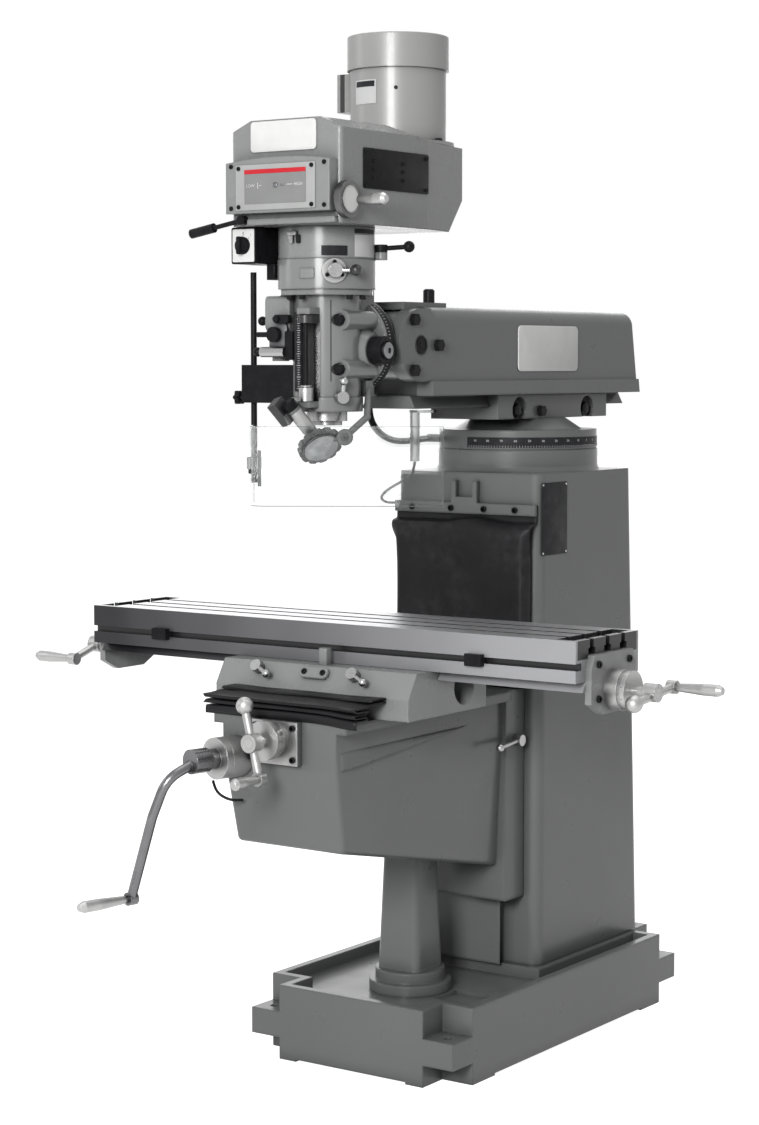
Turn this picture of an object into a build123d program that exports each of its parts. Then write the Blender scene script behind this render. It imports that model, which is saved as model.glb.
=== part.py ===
from build123d import *
from math import atan2, cos, hypot, pi, radians, sin, tan
import os

# Knee and column milling machine, in millimetres, +Z up.
# Origin: on the floor, at the centre of the base. +X is the table's travel, to the operator's right,
# and +Y points from the operator to the column.

# Clearances
RUN = 0.05            # radial, of a running shaft or quill
SLIDE = 0.3           # between sliding flat faces
SEAT = 0.2            # between a round seat and the piece fixed to it
CORD_GAP = 0.8        # between a cord's square end and its gland
FUSE = 2.0            # how far a boss is sunk into the body that it grows from

# Base
BASE_W = 537.0
BASE_L = 983.0
BASE_H = 167.0
BASE_WALL = 22.0
BASE_WEB = 120.0
TRAY_DEPTH = 27.0
TRAY_FLOOR_T = 28.0
TRAY_WALL = 20.0
CORNER_NOTCH = 77.0
LUG_BOTTOM = 48.0
LUG_H = 58.0
ANCHOR_R = 9.0
ANCHOR_INSET = 36.0
FOOT_RELIEF = 5.0
FOOT_LENGTH = 90.0
COLUMN_PAD = 12.0
DRAIN_W = 90.0
DRAIN_DEPTH = 10.0
DRAIN_X = 140.0

# Column
COLUMN_W = 390.0
COLUMN_FRONT = -30.0
COLUMN_DEPTH_FOOT = 475.0
COLUMN_DEPTH_TOP = 422.0
COLUMN_H = 1123.0
COLUMN_WALL = 18.0
COLUMN_ROOF = 30.0
COLUMN_CORNER_R = 25.0
COLUMN_INNER_R = 4.0
COLLAR_R = 187.0
COLLAR_H = 50.0
COLLAR_SKIRT = 6.0
COLLAR_BORE_R = 55.0
WAY_ROOT = 95.0
WAY_FACE = 112.0
WAY_DEPTH = 28.0
WAY_TOP_DROP = 149.0  # ways' top below the column's top

# Turret
TURRET_Y = 190.0
TURRET_RING_R = 185.0
TURRET_RING_H = 45.0
TURRET_NECK_H = 26.0
TURRET_NECK_R = 150.0
TURRET_BLOCK_W = 182.0
TURRET_BLOCK_L = 489.0
TURRET_BLOCK_FRONT = -42.0
TURRET_BLOCK_H = 56.4
TURRET_FLARE = 20.0   # neck's top wider than the block, on each side
TURRET_ROOF = 4.0
POCKET_R = 30.0
POCKET_RISE = 20.0
POCKET_DEPTH = 16.0
POCKET_SPACING = 305.0

# Ram
RAM_W = 236.0
RAM_H = 192.0
RAM_FRONT = -345.0
RAM_REAR_FOOT = 565.0
RAM_REAR_TOP = 531.0
RAM_LIP_H = 32.0
RAM_LIP_STEP = 7.0
RAM_EDGE_R = 30.0
RAM_DOVE_H = 28.0
RAM_DOVE_FOOT = 70.0
RAM_DOVE_ROOT = 56.0
RAM_PAD_H = 9.0
RAM_PAD_FRONT = -404.0
RAM_PAD_L = 164.0
RAM_PIN_R = 9.0
RAM_PIN_H = 30.0
RAM_PINION_R = 11.0
RAM_PINION_HEAD_R = 13.2
RAM_PINION_MESH = 0.6
RAM_PINION_Y = 140.0
NOD_Y = -381.0
NOD_RISE = 109.0      # nod axis above the ram's foot
CHEEK_R = 78.0
CHEEK_SLOT = 150.0
TONGUE_R = 74.0
TONGUE_NECK = 38.0
TRUNNION_R = 20.0
TRUNNION_BORE_R = 9.0
CLAMP_BOLT_R = 8.0
CLAMP_HEAD_R = 14.0
CLAMP_HEAD_H = 11.0
CLAMP_CIRCLE_R = 62.0

# Head
HEAD_BACK = -480.0
ADAPTER_FLANGE_R = 100.0
ADAPTER_FLANGE_T = 18.0
SPINDLE_Y = -570.0
QUILL_R = 43.0
HOUSING_R = 72.0
HOUSING_FOOT = 139.0  # housing's foot below the head axis
HOUSING_TOP = 114.0   # housing's top above the head axis
HOUSING_NECK_W = 116.0
HOUSING_RING_R = 76.0
HOUSING_RING_H = 30.0
HEAD_FLANGE_R = 102.0
HEAD_FLANGE_T = 20.0
HEAD_STUD_R = 7.0
HEAD_STUD_RIGHT = 62.0
HEAD_STUD_LEFT = -72.0
HEAD_STUD_Z = 51.0
HEAD_NUT_R = 11.0
HEAD_NUT_H = 12.0
HEAD_LOBE_R = 21.0
HEAD_SPOT_R = 13.0
HEAD_LOBE_RIGHT_L = 124.0  # stud lobes, forward of the head's back
HEAD_LOBE_LEFT_L = 32.0
QUILL_PINION_R = 14.0
QUILL_PINION_W = 30.0
QUILL_PINION_DROP = 12.0
QUILL_PINION_SHAFT_R = 10.0
QUILL_HUB_R = 30.0
QUILL_HUB_OUT = 24.0
QUILL_HUB_T = 28.0
QUILL_HUB_GAP = 1.0
QUILL_BOSS_R = 34.0
QUILL_BOSS_ROOT_R = 54.0
SPINDLE_R = 20.0
SPINDLE_TOP_R = 15.0
SPINDLE_NOSE_R = 32.0
SPINDLE_NOSE_H = 9.0
SPINDLE_BORE_R = 12.07
SPINDLE_BORE_L = 101.0
SPINDLE_TOP_DROP = 6.0
NOSE_DROP = 29.0      # spindle nose below the housing's foot
LOWER_GEAR_R = 103.0
LOWER_GEAR_H = 62.0
UPPER_GEAR_R = 101.0
UPPER_GEAR_H = 67.0
GEAR_WALL = 15.0
GEAR_PLATE = 12.0
GEAR_RIM_INSET = 6.0
PULLEY_HUB_R = 25.0
STOP_X = 14.0
STOP_ROD_R = 5.0
STOP_ROD_Y = -662.0
STOP_SLOT_W = 32.0
STOP_COLLAR_R = 16.0
STOP_COLLAR_H = 16.0
STOP_NUT_R = 15.5
STOP_NUT_H = 28.0
STOP_LUG_T = 13.0
STOP_FOOT_RISE = 9.0
STOP_TOP_DROP = 52.0
STOP_LUG_ROOT = 10.0

# Belt housing and motor
MOTOR_Y = -308.0
BELT_W = 280.0
BELT_FRONT = -712.0
BELT_WALL = 8.0
BELT_CORNER_R = 10.0
BELT_CROWN = 214.0    # flat top above the housing's foot
BELT_EDGE = 191.0     # flank's top edge above the housing's foot
BELT_TOP_W = 176.0
BELT_BEND_Y = -403.0  # where the flanks turn in
BELT_SHOULDER_HALF = 108.0
BELT_SHOULDER_Y = -218.0
BELT_BACK_HALF = 64.0
BELT_BACK = -168.0
BELT_BELLY_Y = -290.0  # where the rear belly starts to rise
BELT_BELLY_RISE = 122.0
BELT_DECK_R = 190.0   # round deck about the motor
BELT_MOTOR_PAD = 183.0
PANEL_W = 264.0
PANEL_H = 103.0
PANEL_ARCH = 9.0
PANEL_T = 28.0
PANEL_RISE = 24.0
PANEL_WALL = 8.0
MOTOR_R = 104.0
MOTOR_WALL = 12.0
MOTOR_H = 163.0
MOTOR_FLANGE_R = 122.0
MOTOR_FLANGE_T = 9.0
MOTOR_CAP_R = 110.0
MOTOR_CAP_H = 73.0
MOTOR_CAP_WALL = 3.0
MOTOR_CAP_EDGE_R = 3.0
STATOR_INSET = 24.0
ROTOR_END_GAP = 2.0
FAN_RISE = 12.0
FAN_H = 24.0
TERMINAL_OUT = 34.0   # terminal box beyond the motor's side
TERMINAL_SUNK = 12.0
TERMINAL_W = 76.0
TERMINAL_H = 82.0
TERMINAL_RISE = 80.0
TERMINAL_EDGE_R = 6.0
MOTOR_SHAFT_R = 14.0
ROTOR_R = 62.0
ROTOR_GAP = 1.0
FAN_R = 84.0
PULLEY_R = 72.0
PULLEY_CORE_R = 46.0
BELT_LOOP_R = 46.3
BELT_T = 11.0
BELT_BAND = 30.0
BELT_BAND_RISE = 78.0
SHEAVE_T = 22.0

# Head controls
LEVER_SHANK_R = 6.0
LEVER_BALL_R = 12.0
LEVER_BAR_R = 5.0
LOCK_SHANK_R = 7.0
LOCK_SHANK_L = 22.0
LOCK_HUB_R = 13.0
LOCK_HUB_H = 20.0
LOCK_BAR_R = 5.0
LOCK_BALL_R = 9.0
QUILL_LOCK_ANGLE = -33.0
QUILL_LOCK_TIP = (34.0, 22.0)   # ball along the lever and out from the housing
BRAKE_EAR_R = 13.0
BRAKE_EAR_H = 16.0
BRAKE_ANGLE = 35.0
BRAKE_REACH = 58.0
BRAKE_TIP_RISE = 12.0
RANGE_ANGLE = -45.0
RANGE_SHARE = 0.6     # lever's height up the lower gear housing
RANGE_HUB_R = 15.0
RANGE_HUB_H = 18.0
RANGE_TIP = (42.0, 20.0)
SPEED_DIAL_R = 37.5
SPEED_DIAL_T = 15.0
SPEED_DIAL_BACK = 12.0
SPEED_DIAL_RISE = 47.0
DIAL_HANDLE_L = 70.0
DIAL_HANDLE_SHARE = 0.7
RATE_LEVER_X = -105.0
RATE_LEVER_RISE = 12.0
RATE_LEVER_TIP = (-135.0, -24.0)
RATE_HUB_R = 9.6
RATE_HUB_L = 16.0
RATE_GRIP_R = 10.0
SWITCH_W = 64.0
SWITCH_L = 100.0
SWITCH_H = 76.0
SWITCH_X = -126.0
SWITCH_FRONT = -690.0
SWITCH_EDGE_R = 5.0
SWITCH_KNOB_R = 12.0
SWITCH_KNOB_T = 8.0
SWITCH_BAR_W = 6.0
SWITCH_BAR_L = 20.0
SWITCH_HOLE_L = 12.0
FEED_BOX_X = (-104.0, -40.0)
FEED_BOX_Y = (-646.0, -586.0)
FEED_BOX_RISE = 28.0
FEED_BOX_EDGE_R = 12.0
FEED_KNOB_RISE = 22.0
FEED_KNOB_L = 30.0
FEED_HOLE_L = 20.0
FEED_BALL_R = 10.0
FEED_TAIL_R = 18.0
FEED_TAIL_H = 62.0

# Work lamp: places are X, Y and the drop below the head axis
LAMP_FOOT_Y = -513.5
LAMP_FOOT_RISE = 48.0
LAMP_FOOT_SIZE = (12.0, 24.0, 32.0)
LAMP_ELBOW = (96.0, -560.0, 150.0)
LAMP_KNUCKLE = (94.0, -636.0, 190.0)
LAMP_HEAD = (42.0, -652.0, 208.0)
LAMP_CAN_END = (0.0, -705.0, 120.0)
LAMP_BOX_MIDDLE = (-16.0, -704.0, 138.0)
LAMP_BOX_SIZE = (24.0, 30.0, 54.0)
LAMP_AIM = (0.646, -0.325, -0.69)
LAMP_R = 47.0
LAMP_RIM_T = 14.0
LAMP_BACK_R = 30.0
LAMP_BACK_L = 16.0
LAMP_CAN_R = 14.0
LAMP_ARM_R = 7.0
LAMP_ELBOW_R = 8.0
LAMP_KNUCKLE_R = 13.0
LAMP_SCALLOPS = 12
LAMP_SCALLOP_R = 5.0

# Knee
KNEE_TOP = 807.0
KNEE_W = 294.0
KNEE_FOOT_W = 269.0
KNEE_LEDGE_W = 342.0
KNEE_LEDGE_H = 21.0
KNEE_FRONT = -740.0
KNEE_BAND_Z = 705.0
KNEE_CHIN_Y = -706.0
KNEE_CHIN_Z = 533.0
KNEE_REAR_FOOT_Z = 408.0
KNEE_PLATE_W = 316.0
KNEE_PLATE_T = 80.0
KNEE_PLATE_FOOT = 329.0
KNEE_CAVITY_W = 236.0
KNEE_CAVITY_TOP = 741.0
KNEE_WALL = 21.0
KNEE_EDGE_R = 12.0
KNEE_HOLE_GAP = 4.0
KNEE_WEB = 6.0
CHANNEL_W = 80.0
RAIL_H = 12.0
RAIL_ROOT = 85.0
RAIL_FACE = 95.0
KNEE_LOCK_Z = 692.0
KNEE_LOCK_TIP = (22.0, -98.0, -4.0)

# Elevating drive
SCREW_Y = -258.0
SCREW_R = 19.0
SCREW_JOURNAL_R = 15.0
JOURNAL_BOSS_H = 12.0
SCREW_FOOT = 210.0
PEDESTAL_TOP = 520.0
PEDESTAL_NUT_H = 60.0
PEDESTAL_FLANGE_R = 92.0
PEDESTAL_RING_R = 78.0
PEDESTAL_STEP = 25.0
PEDESTAL_FOOT_W = 110.0
PEDESTAL_HEAD_W = 88.0
PEDESTAL_CORNER_R = 16.0
PEDESTAL_BORE_GAP = 6.0
ELEVATE_X = -111.0    # where the crank's shaft leaves the knee's front
ELEVATE_Z = 720.0
ELEVATE_SHAFT_R = 14.0
WHEEL_R = 36.0
PINION_R = 18.0
BEVEL_FACE = 12.0
BEVEL_MESH = 0.6
BARREL_R = 44.0
BARREL_L = 42.0
ELEVATE_DIAL_R = 44.0
ELEVATE_DIAL_T = 16.0
ELEVATE_NECK_R = 22.0
ELEVATE_NECK_L = 24.0
ELEVATE_HUB_R = 26.0
ELEVATE_HUB_L = 40.0
ELEVATE_ARM_REACH = 189.0   # grip's foot, out from the knee's front along the shaft
ELEVATE_ARM_R = 10.5
ELEVATE_ARM_BEND_R = 58.0
ELEVATE_GRIP = (-118.0, -295.0)
ELEVATE_HIP = (-12.0, -32.0)
ELEVATE_HIP_BACK = 14.0     # hip behind the arm's plane
ELEVATE_KNEE = (-42.0, -112.0)
ELEVATE_GRIP_R = 14.0
ELEVATE_GRIP_L = 122.0

# Cross feed
CROSS_Z = 768.0
CROSS_R = 13.0
CROSS_SHAFT_R = 10.0
CROSS_REAR = -150.0
CROSS_PLATE_W = 120.0
CROSS_PLATE_H = 90.0
CROSS_PLATE_DROP = 8.0
CROSS_PLATE_T = 17.0
CROSS_HUB_R = 36.0
CROSS_HUB_T = 18.0
CROSS_DIAL_R = 41.0
CROSS_DIAL_T = 22.0
CROSS_CRANK_Y = -828.0
CROSS_BALL = (-20.0, 75.0)
CROSS_GRIP = (17.0, -73.0)
CROSS_GRIP_L = 77.0

# Saddle
SADDLE_W = 502.0
SADDLE_FRONT = -633.0
SADDLE_SLOPE_Y = 31.0
SADDLE_SLOPE_Z = 45.0
SADDLE_REAR = -339.0
SADDLE_H = 96.4
SADDLE_TUNNEL_R = 38.0
SADDLE_TUNNEL_DROP = 22.0
LEAD_NUT_CAP = 5.0
LEAD_NUT_L = 90.0
LEAD_NUT_W = 40.0
CROSS_NUT_W = 72.0
CROSS_NUT_L = 60.0
CROSS_NUT_Y = -470.0
LOCK_LEFT_X = -148.0
LOCK_RIGHT_X = 103.0
LOCK_DROP = 16.0
SADDLE_LOCK_TIP = (40.0, -20.0, 24.0)

# Table
TABLE_Y = -425.0
TABLE_W = 254.0
TABLE_L = 1270.0
TABLE_X = -38.0
TABLE_H = 85.3
TABLE_DOVE_H = 21.0
TABLE_DOVE_ROOT = 88.0
TABLE_DOVE_FACE = 100.0
T_SLOT_PITCH = 63.5
T_SLOT_W = 16.0
T_SLOT_NECK = 18.0
T_SLOT_HEAD_W = 28.0
T_SLOT_HEAD_H = 13.0
TROUGH_W = 44.0
TROUGH_INSET = 12.0
TROUGH_DEPTH = 14.0
STOP_GROOVE_RISE = 26.0
STOP_GROOVE_H = 13.0
STOP_GROOVE_DEPTH = 12.0
LEAD_CHANNEL_W = 45.0
LEAD_CHANNEL_H = 42.0
LEAD_DROP = 22.7      # lead screw axis below the table's underside
LEAD_R = 13.0
LEAD_SHAFT_R = 10.0
BRACKET_T = 15.0
BRACKET_HALF_TOP = 78.0
BRACKET_HALF_FOOT = 90.0
BRACKET_RISE = 76.0
BRACKET_SHOULDER = 24.0
BRACKET_DROP = 46.0
BRACKET_HUB_R = 42.0
BRACKET_HUB_L = 28.0
DIAL_R = 41.0
DIAL_T = 17.0
TABLE_CRANK_REACH = 103.0
RIGHT_BALL = (-74.0, -15.0)
RIGHT_GRIP = (86.0, 2.0)
LEFT_BALL = (75.0, 24.0)
LEFT_GRIP = (-83.0, -27.0)
TABLE_GRIP_L = 104.0
DOG_L = 40.0
DOG_OUT = 14.0
DOG_LAP = 6.0
DOG_LEFT_X = -470.0
DOG_RIGHT_X = 362.0

# Ball cranks
CRANK_HUB_R = 19.0
CRANK_HUB_L = 30.0
CRANK_ARM_R = 9.0
CRANK_BALL_R = 18.0
CRANK_BOSS_R = 14.0
CRANK_BOSS_L = 20.0
GRIP_R = 12.5
GRIP_NECK_R = 8.0

# Apron and way cover
APRON_W = 380.0
APRON_T = 4.0
APRON_TOP_DROP = 69.0  # sheet's top edge below the column's top
APRON_FOLD_DROP = 76.0
APRON_EASE_DROP = 145.0
APRON_FALL_DROP = 290.0
APRON_EASE = 3.0
APRON_FOLD_R = 22.0
APRON_BULGE = 41.0    # middle of the sheet ahead of the column's face at its fullest
APRON_HANG = 33.0     # middle of the sheet ahead of the column's face lower down
APRON_BAR_H = 25.0
APRON_DROP = 12.0
APRON_BAR_T = 10.0
BRACKET_U_W = 70.0
BRACKET_U_H = 50.0
BRACKET_U_LEG = 13.0
COVER_W = 392.0
COVER_T = 2.4
COVER_FOLD_R = 2.75   # middle of the sheet round each fold
COVER_FOOT = 2.5      # lowest fold above the knee's rails
COVER_FRONT_FOLDS = 4
COVER_FRONT_L = 38.0
COVER_REAR_FOLDS = 2
COVER_REAR_L = 42.0
COVER_MAT_RISE = 4.0
COVER_LAP = 1.5       # how far the cover's front flap laps the knee's face
COVER_REAR_GAP = 4.0

# Guard
ROD_R = 6.5
ROD_COLLAR_H = 10.0
ROD_X = -165.0
ROD_Y = -607.0
ROD_FOOT = 292.0      # rod's foot below the head axis
ROD_L = 445.0
SHIELD_T = 3.0
SHIELD_H = 165.0
SHIELD_CORNER = (-52.0, -768.0)
SHIELD_BEND_R = 40.0
SHIELD_END = (279.0, -546.0)
SHIELD_TOP_DROP = 167.0
SHIELD_CLIP = 26.0
CLAMP_BLOCK_H = 80.0
CLAMP_BLOCK_W = 35.0
CLAMP_BLOCK_DROP = 82.0

# Cords: routes chosen by hand, their heights counted from the column's top
CONDUIT_R = 7.5
CABLE_R = 3.0
GLAND_R = 9.0
GLAND_H = 12.0
GLAND_ROOT_SHARE = 0.7  # conduit gland's root, as a share of the turret ring's radius
CABLE_GLAND_R = 7.2
CONNECTOR_W = 18.0
CONNECTOR_H = 117.0
CONNECTOR_ARM_T = 6.0
CONNECTOR_EDGE_R = 4.0
CONDUIT_POINTS = [
    (-106, -268, 165.8),
    (-106, -266.5, 140),
    (-109, -252, 116),
    (-115, -222, 97),
    (-126, -180, 83),
    (-141, -130, 74),
    (-157, -75, 69),
    (-170, -18, 68),
    (-177, 38, 70),
    (-178, 85, 72),
]
CABLE_POINTS = [
    (-105, -87, 23.8),
    (-107, -88, 6),
    (-119, -92, -11),
    (-138, -97, -24),
    (-159, -101, -35),
    (-178, -102, -47),
    (-193, -96, -58),
    (-202, -80, -67),
    (-206, -58, -74),
    (-206.6, -34, -76.4),
    (-207, -10, -76.9),
    (-207, 14, -77),
]

# Derived heights and places
TRAY_FLOOR = BASE_H - TRAY_DEPTH
COLUMN_TOP = BASE_H + COLUMN_H
COLLAR_TOP = COLUMN_TOP + COLLAR_H
APRON_TOP = COLUMN_TOP - APRON_TOP_DROP
CONDUIT_ROUTE = [(x, y, COLUMN_TOP + rise) for x, y, rise in CONDUIT_POINTS]
CABLE_ROUTE = [(x, y, COLUMN_TOP + rise) for x, y, rise in CABLE_POINTS]
RING_FOOT = COLLAR_TOP + SLIDE
RING_TOP = RING_FOOT + TURRET_RING_H
BLOCK_FOOT = RING_TOP + TURRET_NECK_H
BLOCK_TOP = BLOCK_FOOT + TURRET_BLOCK_H
RAM_FOOT = BLOCK_TOP + SLIDE
RAM_TOP = RAM_FOOT + RAM_H
RAM_DOVE_Z = RAM_FOOT - RAM_DOVE_H
HEAD_Z = RAM_FOOT + NOD_RISE
HOUSING_Z0 = HEAD_Z - HOUSING_FOOT
HOUSING_Z1 = HEAD_Z + HOUSING_TOP
LOWER_GEAR_TOP = HOUSING_Z1 + LOWER_GEAR_H
UPPER_GEAR_TOP = LOWER_GEAR_TOP + UPPER_GEAR_H
BELT_Z = UPPER_GEAR_TOP
MOTOR_Z = BELT_Z + BELT_MOTOR_PAD
MOTOR_TOP = MOTOR_Z + MOTOR_H
BAND_Z = BELT_Z + BELT_BAND_RISE
PULLEY_HUB_FOOT = HOUSING_Z1 + 1
PULLEY_TOP = BAND_Z + BELT_BAND + SHEAVE_T + SLIDE
QUILL_FOOT = HOUSING_Z0 - NOSE_DROP + SPINDLE_NOSE_H
QUILL_TOP = HOUSING_Z1 - GEAR_PLATE
PINION_Y = SPINDLE_Y + QUILL_R + QUILL_PINION_R + SLIDE
PINION_Z = HEAD_Z - QUILL_PINION_DROP
STOP_FOOT = HOUSING_Z0 + STOP_FOOT_RISE
STOP_TOP = HOUSING_Z1 - STOP_TOP_DROP
SADDLE_Z = KNEE_TOP + SLIDE
SADDLE_TOP = SADDLE_Z + SADDLE_H
TABLE_Z = SADDLE_TOP + SLIDE
TABLE_TOP = TABLE_Z + TABLE_H
TABLE_LEFT = TABLE_X - TABLE_L / 2
TABLE_RIGHT = TABLE_X + TABLE_L / 2
TABLE_FRONT = TABLE_Y - TABLE_W / 2
LEAD_Z = TABLE_Z - LEAD_DROP
KNEE_REAR = COLUMN_FRONT - SLIDE
CHANNEL_FLOOR = KNEE_CAVITY_TOP + KNEE_WEB
ELEVATE_RUN = SCREW_Y - KNEE_FRONT
ELEVATE_ANGLE = atan2(-ELEVATE_X, ELEVATE_RUN)
ELEVATE_OUT = hypot(ELEVATE_X, ELEVATE_RUN)
ROD_Z0 = HEAD_Z - ROD_FOOT
SHIELD_TOP = HEAD_Z - SHIELD_TOP_DROP


# Shape helpers
def block(x, y, z):
    """Box between the low and high values of each axis."""
    size = [high - low for low, high in (x, y, z)]
    middle = [(low + high) / 2 for low, high in (x, y, z)]
    return Pos(*middle) * Box(*size)


def rod_x(radius, y, z, x0, x1):
    return Pos((x0 + x1) / 2, y, z) * Rot(0, 90, 0) * Cylinder(radius, abs(x1 - x0))


def rod_y(radius, x, z, y0, y1):
    return Pos(x, (y0 + y1) / 2, z) * Rot(90, 0, 0) * Cylinder(radius, abs(y1 - y0))


def rod_z(radius, x, y, z0, z1):
    return Pos(x, y, (z0 + z1) / 2) * Cylinder(radius, abs(z1 - z0))


def cone_z(foot_r, top_r, x, y, z0, z1):
    return Pos(x, y, (z0 + z1) / 2) * Cone(foot_r, top_r, z1 - z0)


def cone_x(root_r, end_r, y, z, x0, x1):
    return Pos((x0 + x1) / 2, y, z) * Rot(0, 90, 0) * Cone(root_r, end_r, x1 - x0)


def prism_x(points, x0, x1):
    """Outline of (Y, Z) points carried along X."""
    face = Plane.YZ.offset(x0) * Polygon(*points, align=None)
    return extrude(face, x1 - x0, dir=(1, 0, 0))


def prism_y(points, y0, y1):
    """Outline of (X, Z) points carried along Y."""
    face = Plane.XZ.offset(-y0) * Polygon(*points, align=None)
    return extrude(face, y1 - y0, dir=(0, 1, 0))


def prism_z(points, z0, z1):
    """Outline of (X, Y) points carried along Z."""
    face = Plane.XY.offset(z0) * Polygon(*points, align=None)
    return extrude(face, z1 - z0, dir=(0, 0, 1))


def strut(start, end, radius):
    """Round bar between two points."""
    run = Vector(*end) - Vector(*start)
    plane = Plane(origin=start, z_dir=run)
    return plane * Cylinder(radius, run.length, align=(Align.CENTER, Align.CENTER, Align.MIN))


def ball(at, radius):
    return Pos(*at) * Sphere(radius)


def both_sides(x):
    return (-x, x)


def both_about(middle, half):
    return (middle - half, middle + half)


def dovetail(root, face, depth, gap=0.0):
    """Outline of a dovetail that widens from its root at 0 to its face at depth, grown by gap."""
    spread = gap * 1.3
    right = [(root + spread, 0), (face + spread, depth + gap)]
    return [(-root - spread, 0), *right, (-face - spread, depth + gap)]


def turned(points, length):
    """Solid of revolution about Z from (radius, height) points that start and end on the axis."""
    return revolve(Plane.XZ * Polygon((0, 0), *points, (0, length), align=None), Axis.Z)


def grip(length):
    """Turned handle along +Z, thin at its root and full near its end."""
    outline = [
        (GRIP_NECK_R, 0),
        (GRIP_NECK_R + 1, length * 0.1),
        (GRIP_R, length * 0.6),
        (GRIP_R, length * 0.9),
        (GRIP_R * 0.6, length),
    ]
    return turned(outline, length)


def ball_crank(ball_at, grip_at, bore_r, grip_length):
    """Two-armed crank in its own plane, with its shaft and grip along +Z."""
    hub = Cylinder(CRANK_HUB_R, CRANK_HUB_L)
    arm = strut((*ball_at, 0), (*grip_at, 0), CRANK_ARM_R)
    boss = Pos(*grip_at, 0) * Cylinder(CRANK_BOSS_R, CRANK_BOSS_L)
    body = hub + arm + ball((*ball_at, 0), CRANK_BALL_R) + boss
    body += Pos(*grip_at, CRANK_BOSS_L / 2) * grip(grip_length)
    return body - Cylinder(bore_r + SEAT, CRANK_HUB_L * 2)


def hex_bolt(head_r, head_h, shank_r, shank_l):
    """Hexagon bolt along +Z: head above 0, shank below."""
    head = extrude(RegularPolygon(head_r, 6), head_h)
    return head + Pos(0, 0, -shank_l / 2) * Cylinder(shank_r, shank_l)


def cord_path(points):
    """Runs and the largest tangent arcs that fit them; prints the arcs' radii."""
    corners = [Vector(*p) for p in points]
    radii = []
    for before, here, after in zip(corners, corners[1:], corners[2:]):
        turn = radians((here - before).get_angle(after - here))
        shorter = min((here - before).length, (after - here).length)
        radii.append(0.45 * shorter / tan(turn / 2))
    print("cord radii", [round(r, 1) for r in radii])
    return FilletPolyline(*corners, radius=radii)


def cord_tube(name, points, radius):
    path = cord_path(points)
    start = Plane(origin=points[0], z_dir=Vector(*points[1]) - Vector(*points[0]))
    tube = sweep(start * Circle(radius), path=path)
    share = tube.volume / (pi * radius ** 2 * path.length)
    print(name, "length", round(path.length, 1), "volume over section times length", round(share, 4))
    return tube


# Standing part
def make_base():
    half_w, half_l = BASE_W / 2, BASE_L / 2
    body = block(both_sides(half_w), both_sides(half_l), (0, BASE_H))
    tray = block(both_sides(half_w - TRAY_WALL), both_sides(half_l - TRAY_WALL), (TRAY_FLOOR, BASE_H + 1))
    pad_front = COLUMN_FRONT - COLUMN_PAD
    pad_back = COLUMN_FRONT + COLUMN_DEPTH_FOOT + COLUMN_PAD
    tray -= block(both_sides(COLUMN_W / 2 + COLUMN_PAD), (pad_front, pad_back), (0, BASE_H + 2))
    keep = CORNER_NOTCH + TRAY_WALL
    for sx in (-1, 1):
        for sy in (-1, 1):
            corner = Pos(sx * (half_w - keep / 2), sy * (half_l - keep / 2), BASE_H)
            tray -= corner * Box(keep, keep, BASE_H)
    body -= tray
    for sx in (-1, 1):
        for sy in (-1, 1):
            middle = (sx * (half_w - CORNER_NOTCH / 2), sy * (half_l - CORNER_NOTCH / 2))
            body -= Pos(*middle, BASE_H / 2) * Box(CORNER_NOTCH, CORNER_NOTCH, BASE_H)
            sunk = Pos(-sx * FUSE / 2, -sy * FUSE / 2, 0)
            lug_z = LUG_BOTTOM + LUG_H / 2
            lug = Pos(*middle, lug_z) * sunk * Box(CORNER_NOTCH + FUSE, CORNER_NOTCH + FUSE, LUG_H)
            hole_at = (sx * (half_w - ANCHOR_INSET), sy * (half_l - ANCHOR_INSET))
            body += lug - rod_z(ANCHOR_R, *hole_at, 0, BASE_H)
    hollow_x = both_sides(half_w - CORNER_NOTCH - BASE_WALL)
    hollow_z = (-1, TRAY_FLOOR - TRAY_FLOOR_T)
    body -= block(hollow_x, (-half_l + BASE_WALL, -BASE_WEB / 2), hollow_z)
    body -= block(hollow_x, (BASE_WEB / 2, half_l - BASE_WALL), hollow_z)
    side_reach = half_l - CORNER_NOTCH - FOOT_LENGTH
    end_reach = half_w - CORNER_NOTCH - FOOT_LENGTH / 2
    for s in (-1, 1):
        side = sorted((s * (half_w - BASE_WALL), s * (half_w + 1)))
        end = sorted((s * (half_l - BASE_WALL), s * (half_l + 1)))
        body -= block(side, both_sides(side_reach), (-1, FOOT_RELIEF))
        body -= block(both_sides(end_reach), end, (-1, FOOT_RELIEF))
    body -= rod_z(SCREW_R + PEDESTAL_BORE_GAP, 0, SCREW_Y, 0, BASE_H)
    drain_y = (SCREW_Y - DRAIN_W / 2, SCREW_Y + DRAIN_W / 2)
    drain_z = (TRAY_FLOOR - DRAIN_DEPTH, TRAY_FLOOR + 1)
    return body - block((DRAIN_X - DRAIN_W / 2, DRAIN_X + DRAIN_W / 2), drain_y, drain_z)


def column_form(inset, z0, z1):
    """Tapered column body, drawn in from its faces by inset."""
    faces = []
    for z in (z0, z1):
        share = (z - BASE_H) / COLUMN_H
        depth = COLUMN_DEPTH_FOOT + share * (COLUMN_DEPTH_TOP - COLUMN_DEPTH_FOOT)
        place = Pos(0, COLUMN_FRONT + depth / 2)
        rounding = max(COLUMN_CORNER_R - inset, COLUMN_INNER_R)
        outline = RectangleRounded(COLUMN_W - 2 * inset, depth - 2 * inset, rounding)
        faces.append(Plane.XY.offset(z) * place * outline)
    return loft(faces)


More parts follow.
